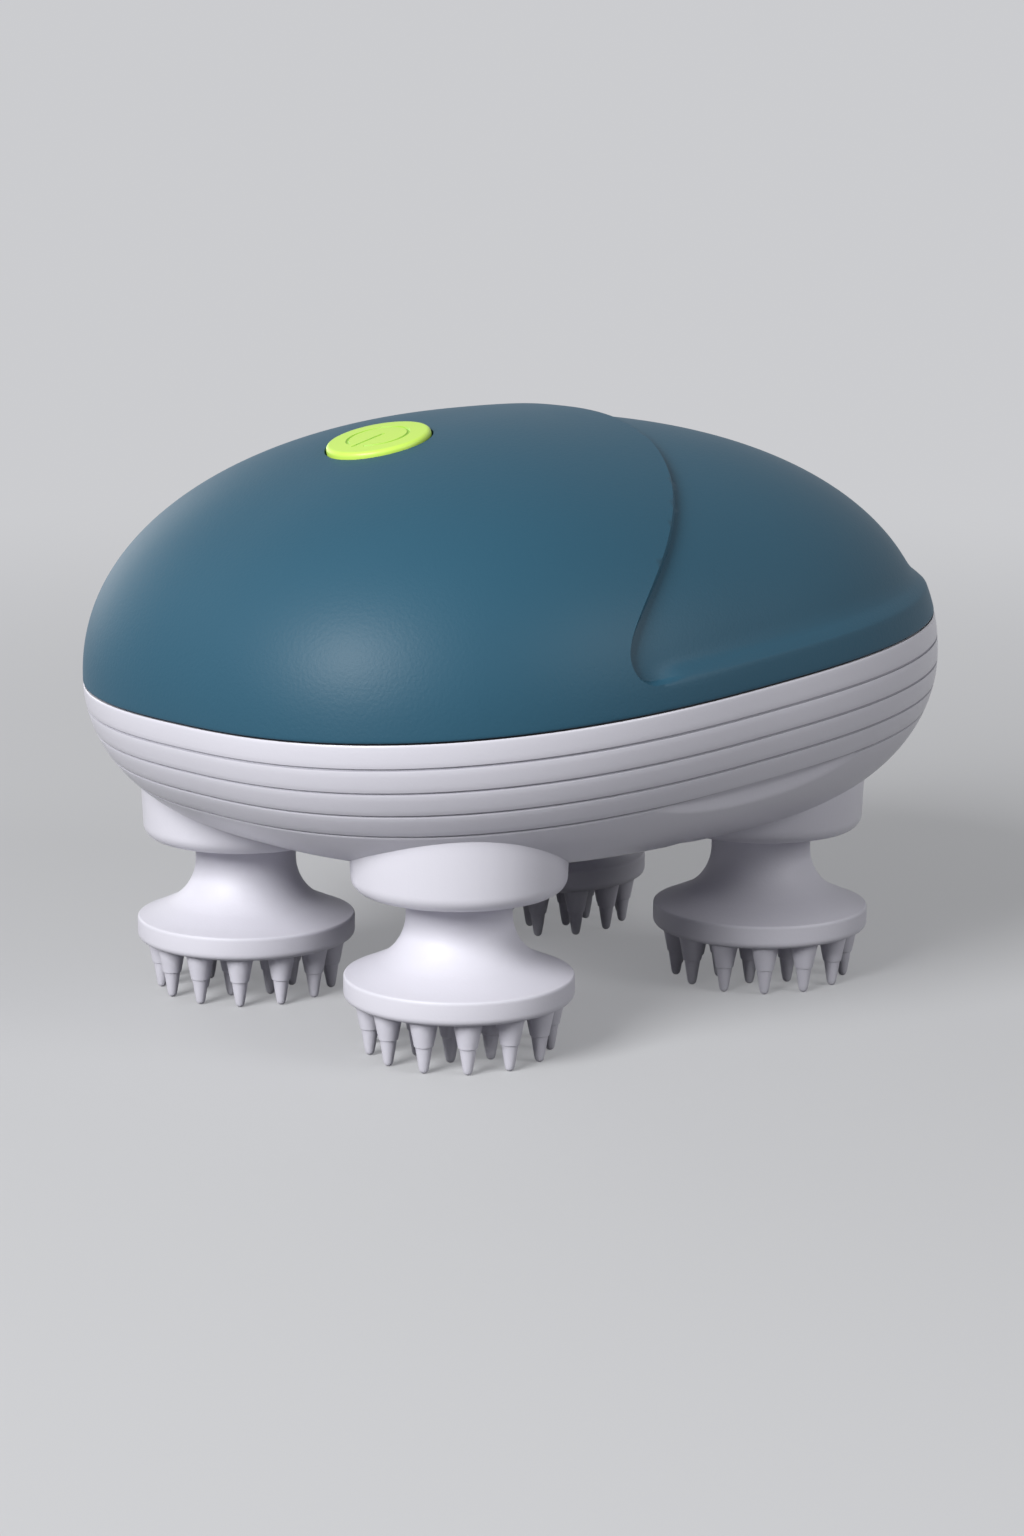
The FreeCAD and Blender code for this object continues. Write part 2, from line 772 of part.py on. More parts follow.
def head_pieces():
    """Spindle, gear, hub and pad of the four heads, with the bush and seal of each."""
    made = {}
    hub = head_hub()
    pad = claw_pad()
    spindle = cylinder(spindle_r, hub_top_z - spindle_socket, main_z + main_gear_width)
    spindle = spindle.fuse(cylinder(journal_r, main_z + main_gear_width, deck_top_z))
    bush = tube(bush_r, spindle_r + running_gap, seal_z + seal_height, bush_boss_top_z)
    lip_seal = tube(seal_r, spindle_r + running_gap, seal_z, seal_z + seal_height)
    for name, centre in heads.items():
        first = meshed(sun_centre, sun_teeth, 0, centre, head_teeth)
        wheel = gear(head_teeth, gear_module, main_z, main_gear_width, centre, first)
        made["head_gear_" + name] = wheel.cut(cylinder(spindle_r, 0, deck_z, centre))
        turned_pad = pad.rotated(V(0, 0, 0), UP, claw_turn[name])
        pieces = {"spindle": spindle, "head_hub": hub, "claw_pad": turned_pad}
        pieces.update({"spindle_bush": bush, "spindle_seal": lip_seal})
        for kind, shape in pieces.items():
            made[kind + "_" + name] = shape.translated(centre)
    return made


def build():
    """Every piece of the massager, by node name."""
    made = {}
    form = egg(0)
    cavity = egg(wall)
    place = dome_place(button_x)
    mid_wall = egg(wall / 2)
    made["upper_shell"] = upper_shell(form, cavity, mid_wall, place)
    made["lower_shell"] = lower_shell(form, cavity, mid_wall)
    band = beside_parting(-parting_gap / 2, parting_gap / 2)
    made["shell_seal"] = egg(seal_inset).common(band).cut(cavity)
    made["shell_screws"] = Part.makeCompound(
        [
            screw(
                screw_r, screw_head_r, screw_head_height, screw_seat_z(p), deck_top_z + screw_bite, p
            )
            for p in posts
        ]
    )
    made["gear_deck"] = gear_deck()
    made["motor_plate"] = motor_plate()
    plate_screws = []
    for p in pillars:
        shank = cylinder(small_screw_r, plate_z - small_screw_bite, plate_top_z, p)
        top = plate_top_z + small_screw_head_height
        plate_screws.append(shank.fuse(cylinder(small_screw_head_r, plate_top_z, top, p)))
    made["plate_screws"] = Part.makeCompound(plate_screws)
    made["battery_cell"] = battery()
    made.update(motor())
    made.update(drive_train())
    made.update(button_group(place))
    made.update(charge_contacts())
    made.update(head_pieces())
    return made


os.makedirs("parts", exist_ok=True)
for node, shape in build().items():
    shape.exportStep("parts/" + node + ".step")
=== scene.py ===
import json
import math

import bmesh
import bpy
from mathutils import Matrix, Vector, geometry


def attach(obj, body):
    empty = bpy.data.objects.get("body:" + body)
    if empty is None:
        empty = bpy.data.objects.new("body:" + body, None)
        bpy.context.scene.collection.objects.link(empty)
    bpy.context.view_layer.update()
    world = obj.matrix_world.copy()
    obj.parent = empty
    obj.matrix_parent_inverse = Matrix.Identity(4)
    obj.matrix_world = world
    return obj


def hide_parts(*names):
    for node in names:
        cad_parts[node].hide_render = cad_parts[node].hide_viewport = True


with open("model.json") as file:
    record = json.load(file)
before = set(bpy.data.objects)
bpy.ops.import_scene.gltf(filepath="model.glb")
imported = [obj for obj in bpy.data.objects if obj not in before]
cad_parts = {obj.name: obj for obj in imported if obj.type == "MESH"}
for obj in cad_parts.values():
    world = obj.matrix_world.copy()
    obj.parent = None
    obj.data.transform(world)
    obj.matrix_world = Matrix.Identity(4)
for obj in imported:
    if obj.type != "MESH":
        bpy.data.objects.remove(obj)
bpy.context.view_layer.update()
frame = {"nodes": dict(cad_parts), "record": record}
nodes = frame["nodes"]


# Lower shell
# One satin-gloss moulding in pale lavender white: a bowl with fine grooves round it, a crescent scoop in
# each flank and a round collar over each head. Screws from below draw it up to the cover.
# All sizes are in millimetres here and become metres when the mesh is made.
body_half_length = 60.0
body_half_width = 48.0
plan_power = 2.55
equator = 45.0
dome_rise = 34.8
dome_power = 2.15
bowl_drop = 21.0
bowl_bottom = equator - bowl_drop
bowl_draw_in = 0.42
shell_wall = 2.5
parting_height = 47.9
parting_tilt = math.radians(4.0)
parting_slope = math.tan(parting_tilt)
parting_half_gap = 0.25
settling_rounds = 8


def plan_radius(turn, inset):
    """Radius of the body's widest outline in one direction: a superellipse."""
    along = abs(math.cos(turn) / (body_half_length - inset)) ** plan_power
    across = abs(math.sin(turn) / (body_half_width - inset)) ** plan_power
    return (along + across) ** (-1 / plan_power)


def plan_share(z, inset):
    """Share of the widest outline that is left at a height of the bowl or the dome."""
    if z >= equator:
        rise = min(1.0, (z - equator) / (dome_rise - inset))
        return (1 - rise ** dome_power) ** (1 / dome_power)
    sine = min(1.0, (equator - z) / (bowl_drop - inset))
    return 1 - bowl_draw_in * (1 - math.sqrt(1 - sine ** 2))


def skin(turn, z, inset=0.0):
    """Point of the body's form, or of the same form drawn in by inset."""
    radius = plan_radius(turn, inset) * plan_share(z, inset)
    return Vector((radius * math.cos(turn), radius * math.sin(turn), z))


def height_above_parting(turn, above, inset=0.0):
    """Height at which the skin stands a distance above the sloping parting plane."""
    z = parting_height
    for _ in range(settling_rounds):
        z = parting_height + above / math.cos(parting_tilt) + parting_slope * skin(turn, z, inset).x
    return z


def outward(point):
    """Outward normal of the body's form at a point on it."""
    along = abs(point.x) / body_half_length
    across = abs(point.y) / body_half_width
    spread = max(along ** plan_power + across ** plan_power, 1e-9)
    if point.z >= equator:
        spread = spread ** (dome_power / plan_power - 1)
        upright = ((point.z - equator) / dome_rise) ** (dome_power - 1) / dome_rise
    else:
        spread = spread ** (1 / plan_power - 1)
        sine = min(0.9999, (equator - point.z) / bowl_drop)
        upright = -bowl_draw_in * sine / bowl_drop / math.sqrt(1 - sine ** 2)
    return Vector((
        math.copysign(spread * along ** (plan_power - 1) / body_half_length, point.x),
        math.copysign(spread * across ** (plan_power - 1) / body_half_width, point.y),
        upright,
    )).normalized()


# The lip is (distance from the parting plane, inset), the groove (height over its middle, inset).
lip_profile = ((parting_half_gap, 0.2), (0.12, 0.12), (0.2, 0.05), (0.35, 0.012), (0.53, 0.0))
groove_count = 4
groove_pitch = 3.3
groove_depth = 0.26
groove_half_width = 0.3
groove_floor_half = 0.11
groove_side = ((groove_half_width, 0.0), (0.18, 0.03), (groove_floor_half, groove_depth))
groove_profile = groove_side + tuple((-above, inset) for above, inset in reversed(groove_side))
land_steps = 4
scoop_middle_x = 1.5
scoop_half_length = 18.5
scoop_height = 3.0
scoop_depth = 1.0
scoop_end_power = 0.8
scoop_start = 0.24
scoop_deepest = 0.55
scoop_rise_power = 1.6
scoop_ridge_soft = 0.12
scoop_rows = 17
scoop_row_pitch = 0.22
bowl_rows = 22
floor_rows = 14


def scoop_inset(point):
    """Depth of the crescent scoop under the bowl's form: steep at its top, then out to a ridge."""
    drop = parting_height + parting_slope * point.x - point.z
    below = drop * math.cos(parting_tilt) - groove_count * groove_pitch
    along = (point.x - scoop_middle_x) / scoop_half_length
    if below < -groove_floor_half or abs(along) >= 1:
        return 0.0
    swell = (1 - along ** 2) ** scoop_end_power
    share = max(0.0, below) / (scoop_height * swell)
    if share < scoop_deepest:
        sunk = scoop_start + (1 - scoop_start) * math.sin(math.pi / 2 * share / scoop_deepest)
    else:
        sunk = 1 - ((share - scoop_deepest) / (1 - scoop_deepest)) ** scoop_rise_power
        sunk = (sunk + math.hypot(sunk, scoop_ridge_soft)) / 2
    return scoop_depth * swell * sunk


def turns_round(count):
    """Angles of equal steps round a circle."""
    return [2 * math.pi * i / count for i in range(count)]


def drawn_to_middle(row, count):
    """Rows that draw a level row in to one point in its middle."""
    rows = []
    for k in range(1, count):
        share = 1 - k / count
        rows.append([Vector((p.x * share, p.y * share, p.z)) for p in row])
    return rows + [[Vector((0, 0, row[0].z))]]


def join_rows(mesh, upper, lower):
    """Quads between two closed rows of as many vertices, or triangles to a single vertex."""
    for i, here in enumerate(upper):
        after = (i + 1) % len(upper)
        if len(lower) == 1:
            mesh.faces.new((here, upper[after], lower[0]))
        else:
            mesh.faces.new((here, upper[after], lower[after], lower[i]))


def lay_rows(mesh, rows):
    """Close a skin through rows of points, and give back its rows of vertices."""
    laid = [[mesh.verts.new(point) for point in row] for row in rows]
    for upper, lower in zip(laid, laid[1:]):
        join_rows(mesh, upper, lower)
    return laid


# Distance above the parting plane and inset of each upper row, down to the scoop's end.
bowl_profile = [(-away, inset) for away, inset in lip_profile]
for i in range(1, groove_count + 1):
    middle = -i * groove_pitch
    start = bowl_profile[-1][0]
    land = middle + groove_half_width - start
    bowl_profile += [(start + land * k / land_steps, 0.0) for k in range(1, land_steps)]
    bowl_profile += [(middle + above, inset) for above, inset in groove_profile]
scoop_top = bowl_profile[-1][0]
bowl_profile += [(scoop_top - scoop_row_pitch * k, 0.0) for k in range(1, scoop_rows + 1)]

body_sides = 288
directions = turns_round(body_sides)
outer_rows = []
for above, inset in bowl_profile:
    row = []
    for turn in directions:
        point = skin(turn, height_above_parting(turn, above))
        row.append(point - outward(point) * max(inset, scoop_inset(point)))
    outer_rows.append(row)
scoop_end = bowl_profile[-1][0]
slants = [math.asin((equator - height_above_parting(turn, scoop_end)) / bowl_drop) for turn in directions]
for k in range(1, bowl_rows + 1):
    row = []
    for turn, first in zip(directions, slants):
        slant = first + (math.pi / 2 - first) * k / bowl_rows
        row.append(skin(turn, equator - bowl_drop * math.sin(slant)))
    outer_rows.append(row)
outer_rows += drawn_to_middle(outer_rows[-1], floor_rows)
bowl = bmesh.new()
bowl_outer = lay_rows(bowl, outer_rows)
# Faces round each groove's floor take the second, darker finish: painted shade in the grooves.
painted_shade_slot = 1
for row, (above, inset) in zip(bowl_outer, bowl_profile):
    if inset == groove_depth:
        for face in {f for v in row for f in v.link_faces}:
            face.material_index = painted_shade_slot


class Axis:
    """The Z axis of a place, for round cuts along it and rings round it."""

    def __init__(self, place):
        self.place = place
        self.inverse = place.inverted()

    def distance(self, point):
        """Distance of a point from the axis."""
        flat = self.inverse @ point
        return math.hypot(flat.x, flat.y)

    def angle(self, point):
        """Angle of a point round the axis."""
        flat = self.inverse @ point
        return math.atan2(flat.y, flat.x)

    def ring_point(self, turn, radius, height):
        """Point at an angle on a ring round the axis."""
        return self.place @ Vector((radius * math.cos(turn), radius * math.sin(turn), height))


def upright_axis(centre):
    """Upright axis over a place on the floor."""
    return Axis(Matrix.Translation((*centre, 0.0)))


def cut_along(mesh, faces, field, snap=0.15):
    """Make the line field = 0 run along edges of some faces. Gives back the field at their vertices."""
    mesh.edges.index_update()
    mesh.faces.index_update()
    value = {v: field(v.co) for f in faces for v in f.verts}
    edges = sorted({e for f in faces for e in f.edges}, key=lambda e: e.index)
    for edge in edges:
        a, b = edge.verts
        if value[a] * value[b] < 0:
            share = value[a] / (value[a] - value[b])
            near = a if share < snap else b if share > 1 - snap else None
            if near:
                near.co = a.co.lerp(b.co, share)
                value[near] = 0.0
    touched = set()
    for edge in edges:
        a, b = edge.verts
        if value[a] * value[b] < 0:
            touched.update(edge.link_faces)
            _, fresh = bmesh.utils.edge_split(edge, a, value[a] / (value[a] - value[b]))
            value[fresh] = 0.0
    touched.update(f for f in faces if any(value[v] == 0 for v in f.verts))
    waiting = sorted(touched, key=lambda f: f.index)
    while waiting:
        face = waiting.pop()
        ring = list(face.verts)
        on = [i for i, v in enumerate(ring) if value[v] == 0]
        for start, end in zip(on, on[1:] + on[:1]):
            span = (end - start) % len(ring)
            between = [value[ring[(start + k) % len(ring)]] for k in range(1, span)]
            rest = [value[ring[(end + k) % len(ring)]] for k in range(1, len(ring) - span)]
            if not between or not rest:
                continue
            if min(between) * max(rest) < 0 or max(between) * min(rest) < 0:
                other, _ = bmesh.utils.face_split(face, ring[start], ring[end])
                waiting += [face, other]
                break
    return value


def open_hole(mesh, faces, field, angle):
    """Cut a hole where field is negative, and give back the loop round it in the order of angle."""
    value = cut_along(mesh, faces, field)
    inside = [f for f in mesh.faces if all(value.get(v, 1.0) <= 0 for v in f.verts)]
    bmesh.ops.delete(mesh, geom=inside, context="FACES")
    rim = [v for v in mesh.verts if value.get(v) == 0 and v.is_boundary]
    return sorted(rim, key=lambda v: angle(v.co))


def open_round(mesh, faces, axis, radius):
    """Cut a round hole along an axis, and give back the loop round it."""
    return open_hole(mesh, faces, lambda point: axis.distance(point) - radius, axis.angle)


def add_rings(mesh, loop, axis, rings):
    """Go on from a loop through (radius, height) rings round an axis, and give back the last loop."""
    turns = [axis.angle(v.co) for v in loop]
    for radius, height in rings:
        fresh = [mesh.verts.new(axis.ring_point(turn, radius, height)) for turn in turns]
        join_rows(mesh, loop, fresh)
        loop = fresh
    return loop


def rounded_edge(radius, end, edge, side, steps=8):
    """Quarter bend of (radius, height) points from a round wall to its end face.
    The wall lies above the end face where side is 1, and below it where side is -1."""
    points = []
    for k in range(steps + 1):
        bend = math.pi / 2 * k / steps
        points.append((radius - edge * (1 - math.cos(bend)), end + side * edge * (1 - math.sin(bend))))
    return points


drive_x = -2.5
head_spread_x = 28.6
head_spread_y = 21.864
head_centres = {
    "front_left": (drive_x - head_spread_x, -head_spread_y),
    "front_right": (drive_x - head_spread_x, head_spread_y),
    "rear_left": (drive_x + head_spread_x, -head_spread_y),
    "rear_right": (drive_x + head_spread_x, head_spread_y),
}
edge_break = 0.3
collar_bottom = 21.4
collar_radius = 14.0
collar_edge = 2.0
collar_draft = 0.35 / 8.0
pocket_radius = 7.4
pocket_top = 22.9
seal_radius = 5.5
seal_top = 24.9
bush_radius = 4.5
boss_top = 31.2
boss_radius = 7.0
collar_rings = rounded_edge(collar_radius, collar_bottom, collar_edge, 1) + [
    (pocket_radius + edge_break, collar_bottom),
    (pocket_radius, collar_bottom + edge_break),
    (pocket_radius, pocket_top),
    (seal_radius, pocket_top),
    (seal_radius, seal_top),
    (bush_radius, seal_top),
    (bush_radius, boss_top),
    (boss_radius, boss_top),
]


def collar_radius_at(z):
    """Radius of a collar's wall at a height. It leans out by its draft."""
    return collar_radius + collar_draft * (z - collar_bottom - collar_edge)


# Each post goes up from its hole in the outer skin and ends in a loop that the inner skin is joined to.
posts = []
for centre in head_centres.values():
    axis = upright_axis(centre)
    loop = open_hole(
        bowl, list(bowl.faces), lambda point: axis.distance(point) - collar_radius_at(point.z), axis.angle
    )
    posts.append((axis, boss_radius, add_rings(bowl, loop, axis, collar_rings)))

screw_places = [(-41.0, 0.0), (46.0, 0.0), (drive_x, -34.0), (drive_x, 34.0)]
counterbore_radius = 3.1
counterbore_depth = 3.0
screw_bore_radius = 1.7
post_radius = 4.4
post_top = 38.2


def screw_seat(centre):
    """Height of the counterbore's floor at a place on one of the body's two axes."""
    share = max(abs(centre[0]) / body_half_length, abs(centre[1]) / body_half_width)
    cosine = max(0.0, 1 - (1 - share) / bowl_draw_in)
    return equator - bowl_drop * math.sqrt(1 - cosine ** 2) + counterbore_depth


for centre in screw_places:
    axis = upright_axis(centre)
    loop = open_round(bowl, list(bowl.faces), axis, counterbore_radius)
    seat = screw_seat(centre)
    screw_rings = [(counterbore_radius, seat), (screw_bore_radius, seat)]
    screw_rings += [(screw_bore_radius, post_top), (post_radius, post_top)]
    posts.append((axis, post_radius, add_rings(bowl, loop, axis, screw_rings)))

charge_height = 45.2
charge_half_width = 7.5
charge_half_height = 3.5
charge_corner = 3.4


def charge_field(point):
    """Distance from the rounded outline of the charging plate, on the rear wall only."""
    if point.x < 0:
        return 1.0
    across = max(0.0, abs(point.y) - charge_half_width + charge_corner)
    up = max(0.0, abs(point.z - charge_height) - charge_half_height + charge_corner)
    return math.hypot(across, up) - charge_corner


def charge_angle(point):
    """Angle of a point round the charging plate's middle."""
    return math.atan2(point.z - charge_height, point.y)


def inner_faces(mesh, outside):
    """Faces of a shell that aren't among those of its outside."""
    return [f for f in mesh.faces if f not in outside]


def rim_row(side):
    """Row of the inner skin at a shell's rim. side is 1 for the cover and -1 for the bowl."""
    row = []
    for turn in directions:
        z = height_above_parting(turn, side * parting_half_gap, shell_wall)
        row.append(skin(turn, z, shell_wall))
    return row


def join_loops(mesh, first, second):
    """Close the wall between two ordered loops of any count."""
    edges = []
    for loop in (first, second):
        edges += [mesh.edges.get((a, b)) for a, b in zip(loop, loop[1:] + loop[:1])]
    bmesh.ops.bridge_loops(mesh, edges=edges)


def stand_post(mesh, outside, axis, radius, end, bore, bore_end):
    """Grow a round post with a blind bore out of the inner skin, along an axis."""
    loop = open_round(mesh, inner_faces(mesh, outside), axis, radius)
    mesh.faces.new(add_rings(mesh, loop, axis, ((radius, end), (bore, end), (bore, bore_end))))


charge_outer_loop = open_hole(bowl, list(bowl.faces), charge_field, charge_angle)
bowl_outside = set(bowl.faces)
inner_wall_rows = 14
inner_floor_rows = 8
inner_floor = bowl_bottom + shell_wall
inner_rows = [rim_row(-1)]
for k in range(1, inner_wall_rows + 1):
    slant = math.pi / 2 * k / inner_wall_rows
    row = []
    for turn, rim in zip(directions, inner_rows[0]):
        top = min(rim.z, equator)
        row.append(skin(turn, top - (top - inner_floor) * math.sin(slant), shell_wall))
    inner_rows.append(row)
inner_rows += drawn_to_middle(inner_rows[-1], inner_floor_rows)
bowl_inner = lay_rows(bowl, inner_rows)
join_rows(bowl, bowl_outer[0], bowl_inner[0])
for axis, radius, top_loop in posts:
    loop = open_round(bowl, inner_faces(bowl, bowl_outside), axis, radius)
    join_loops(bowl, top_loop, loop)
    bowl_outside |= {f for v in top_loop for f in v.link_faces}

# The first boss carries the axle of the sun gear, the other that of the second reduction gear.
second_gear_x = 29.5
for x, radius, bore in ((drive_x, 5.0, 2.0), (second_gear_x, 3.0, 1.0)):
    stand_post(bowl, bowl_outside, upright_axis((x, 0.0)), radius, boss_top, bore, inner_floor)
charge_inner_loop = open_hole(bowl, inner_faces(bowl, bowl_outside), charge_field, charge_angle)
join_loops(bowl, charge_outer_loop, charge_inner_loop)

millimetre = 0.001


def add_object(name, data):
    """Object of the scene that holds some data."""
    piece = bpy.data.objects.new(name, data)
    bpy.context.scene.collection.objects.link(piece)
    return piece


def finish_mesh(name, mesh, material, crease=35.0):
    """Turn a mesh in millimetres into a smooth-shaded object in metres, creased where it is sharp."""
    bmesh.ops.recalc_face_normals(mesh, faces=mesh.faces)
    bmesh.ops.scale(mesh, vec=(millimetre, millimetre, millimetre), verts=mesh.verts)
    data = bpy.data.meshes.new(name)
    mesh.to_mesh(data)
    mesh.free()
    data.shade_smooth()
    data.set_sharp_from_angle(angle=math.radians(crease))
    data.materials.append(material)
    return add_object(name, data)


def node_group(name, kind, inputs, outputs):
    """Empty node group with named sockets, each given as its kind and its default value or None."""
    tree = bpy.data.node_groups.new(name, kind)
    for direction, sockets in (("INPUT", inputs), ("OUTPUT", outputs)):
        for label, (socket_kind, value) in sockets.items():
            socket = tree.interface.new_socket(name=label, in_out=direction, socket_type=socket_kind)
            if value is not None:
                socket.default_value = value
    return tree


def set_inputs(node, inputs):
    """Link each input of a node to an output socket, or set its value."""
    for label, given in inputs.items():
        if isinstance(given, bpy.types.NodeSocket):
            node.id_data.links.new(given, node.inputs[label])
        else:
            node.inputs[label].default_value = given


def add_node(tree, kind, inputs=None, **settings):
    """Node of a tree with its settings and its inputs."""
    node = tree.nodes.new(kind)
    for label, setting in settings.items():
        setattr(node, label, setting)
    set_inputs(node, inputs or {})
    return node


moulding = node_group(
    "moulded_surface",
    "ShaderNodeTree",
    inputs={
        "Place": ("NodeSocketVector", None),
        "Grain Scale": ("NodeSocketFloat", 4000.0),
        "Cloud Scale": ("NodeSocketFloat", 40.0),
    },
    outputs={"Grain": ("NodeSocketFloat", None), "Cloud": ("NodeSocketFloat", None)},
)
given = add_node(moulding, "NodeGroupInput").outputs
noise = {}
for output, detail in (("Grain", 2.0), ("Cloud", 4.0)):
    texture = add_node(moulding, "ShaderNodeTexNoise", {
        "Vector": given["Place"],
        "Scale": given[output + " Scale"],
        "Detail": detail,
    })
    noise[output] = texture.outputs["Fac"]
add_node(moulding, "NodeGroupOutput", noise)


def moulded_finish(name, colour, shade, gloss, grain, metallic=0.0, coat=0.0, shine=0.5):
    """Material of one finish: two close tones in soft clouds, a roughness range and a fine grain.
    colour and shade are linear, gloss is (low, high) roughness, grain is (scale, height in metres)."""
    material = bpy.data.materials.new(name)
    material.use_nodes = True
    tree = material.node_tree
    place = add_node(tree, "ShaderNodeTexCoord").outputs["Object"]
    surface = add_node(tree, "ShaderNodeGroup", {"Place": place, "Grain Scale": grain[0]}, node_tree=moulding)
    cloud = surface.outputs["Cloud"]
    tones = {"Factor": cloud, "A": (*shade, 1.0), "B": (*colour, 1.0)}
    tone = add_node(tree, "ShaderNodeMix", tones, data_type="RGBA")
    rough = add_node(tree, "ShaderNodeMapRange", {"Value": cloud, "To Min": gloss[0], "To Max": gloss[1]})
    bump = add_node(tree, "ShaderNodeBump", {"Height": surface.outputs["Grain"], "Distance": grain[1]})
    set_inputs(tree.nodes["Principled BSDF"], {
        "Base Color": tone.outputs["Result"],
        "Roughness": rough.outputs["Result"],
        "Normal": bump.outputs["Normal"],
        "Metallic": metallic,
        "Coat Weight": coat,
        "Specular IOR Level": shine,
    })
    return material


pale_bowl = moulded_finish(
    "pale_bowl", (0.715, 0.705, 0.775), (0.685, 0.675, 0.745), (0.28, 0.36), (2600.0, 0.000012), coat=0.05
)
# A darker tone of the bowl for the groove faces: painted shade.
groove_painted_shade = moulded_finish(
    "pale_groove", (0.46, 0.455, 0.51), (0.43, 0.425, 0.475), (0.5, 0.6), (2600.0, 0.000012)
)
lower_shell = finish_mesh("pale_lower_shell", bowl, pale_bowl)
lower_shell.data.materials.append(groove_painted_shade)
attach(lower_shell, "housing")
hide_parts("lower_shell")


# Upper shell
# A domed moulding under a soft-touch teal coat. A grip recess is swept into its rear half: an S-shaped
# step on each side that turns into a ledge over the parting line. It carries the button's hole.
ledge_rise = 3.8
ledge_end_x = 90.0
ledge_slope = 1.75
recess_depth = 1.2
recess_margin = 2.0
recess_nose_x = -23.4
recess_nose_radius = 3.2
recess_nose_turn = math.radians(86.0)
recess_nose_steps = 12
recess_sweep = ((9.5, 81.0), (-5.5, 69.6), (-23.6, 58.8))
recess_sweep_points = 60
step_slope = 0.42
step_edge = 0.18
step_middle = 0.08
nose_run = 5.0
crisp_run = 22.0
soft_lead = 0.6
soft_run = 3.2
slope_share = 0.72
tail_start = 0.6 * ledge_slope
tail_run = 2.4


def ledge_height(x):
    """Height of the ledge line over the parting plane, seen from the side."""
    return parting_height + ledge_rise + parting_slope * x


recess_nose = Vector((recess_nose_x, ledge_height(recess_nose_x) + recess_nose_radius, 0))
sweep_ends = [Vector((*point, 0)) for point in recess_sweep]
recess_line = list(geometry.interpolate_bezier(*sweep_ends, recess_nose, recess_sweep_points))
for k in range(1, recess_nose_steps + 1):
    bend = math.pi + recess_nose_turn * k / recess_nose_steps
    recess_line.append(Vector((
        recess_nose_x + recess_nose_radius * (1 + math.cos(bend)),
        recess_nose.y + recess_nose_radius * math.sin(bend),
        0,
    )))
ledge_start_x = recess_line[-1].x
recess_line.append(Vector((ledge_end_x, ledge_height(ledge_end_x), 0)))
ledge_run = len(recess_line) - 2


def recess_place(point):
    """Distance inside the recess's outline seen from the side, and whether the ledge is what is nearest."""
    if point.x < recess_nose_x - recess_margin or point.z < ledge_height(point.x) - recess_margin:
        return -recess_margin, False
    flat = Vector((point.x, point.z, 0))
    best = math.inf
    nearest = 0
    for i, (a, b) in enumerate(zip(recess_line, recess_line[1:])):
        run = b - a
        share = min(1.0, max(0.0, (flat - a).dot(run) / run.length_squared))
        gap = (flat - a - run * share).length
        if gap < best:
            best = gap
            nearest = i
            side = run.x * (flat.y - a.y) - run.y * (flat.x - a.x)
    if flat.y > recess_line[0].y:
        side = flat.x - recess_line[0].x
        best = abs(side)
    return (best if side > 0 else -best), nearest == ledge_run


def ease(share):
    """Smooth step from 0 to 1."""
    share = min(1.0, max(0.0, share))
    return share * share * (3 - 2 * share)


def recess_inset(point, inside, on_ledge):
    """Depth of the recess under the dome's form: a steep step at the S-line, a slope over the ledge."""
    steep = ease((inside + step_edge) / (step_slope + step_edge))
    if not on_ledge:
        return recess_depth * steep
    crisp = ease((point.x - ledge_start_x) / crisp_run)
    soft = ease((inside + soft_lead) / soft_run)
    slope = slope_share * min(1.0, max(0.0, inside / ledge_slope))
    slope += (1 - slope_share) * ease((inside - tail_start) / tail_run)
    early = ease((point.x - ledge_start_x) / nose_run)
    return recess_depth * ((1 - early) * steep + early * ((1 - crisp) * soft + crisp * slope))


def dome_over(start_row, row_count, inset=0.0):
    """Rows of points from a row of the cover up to the dome's top."""
    rise = dome_rise - inset
    rows = []
    for k in range(1, row_count):
        row = []
        for turn, start in zip(directions, start_row):
            first = math.asin(max(0.0, (start.z - equator) / rise) ** (dome_power / 2))
            slant = first + (math.pi / 2 - first) * k / row_count
            row.append(skin(turn, equator + rise * math.sin(slant) ** (2 / dome_power), inset))
        rows.append(row)
    return rows + [[Vector((0, 0, equator + rise))]]


# Distance above the parting plane and inset of each row up to the ledge's soft edge.
cover_profile = list(lip_profile)
ledge_rows = (1.0, 1.7, 2.4, 3.0, 3.45, 3.79, 4.1, 4.5, 4.9, 5.35, 5.9, 6.6, 7.4)
cover_profile += [(above, 0.0) for above in ledge_rows]
dome_rows = 64
inner_dome_rows = 48
outer_rows = []
for above, inset in cover_profile:
    row = []
    for turn in directions:
        point = skin(turn, height_above_parting(turn, above))
        row.append(point - outward(point) * inset)
    outer_rows.append(row)
cover = bmesh.new()
cover_outer = lay_rows(cover, outer_rows + dome_over(outer_rows[-1], dome_rows))
for level in (-step_edge, step_middle, step_slope):
    cut_along(cover, list(cover.faces), lambda point: recess_place(point)[0] - level)
for vertex in cover.verts:
    inside, on_ledge = recess_place(vertex.co)
    if inside > -soft_lead:
        vertex.co -= outward(vertex.co) * recess_inset(vertex.co, inside, on_ledge)

button_x = -25.5
button_radius = 7.0
button_gap = 0.3
button_side = abs(button_x) / body_half_length
button_rise = (1 - button_side ** dome_power) ** (1 / dome_power)
button_point = Vector((button_x, 0, equator + dome_rise * button_rise))
button_turn = outward(button_point).to_track_quat("Z", "X").to_matrix().to_4x4()
button_place = Matrix.Translation(button_point) @ button_turn
button_axis = Axis(button_place)
hole_outer_loop = open_round(cover, list(cover.faces), button_axis, button_radius + button_gap)
cover_outside = set(cover.faces)
inner_rim = rim_row(1)
cover_inner = lay_rows(cover, [inner_rim] + dome_over(inner_rim, inner_dome_rows, shell_wall))
hole_inner_loop = open_round(
    cover, inner_faces(cover, cover_outside), button_axis, button_radius + button_gap
)
join_loops(cover, hole_outer_loop, hole_inner_loop)

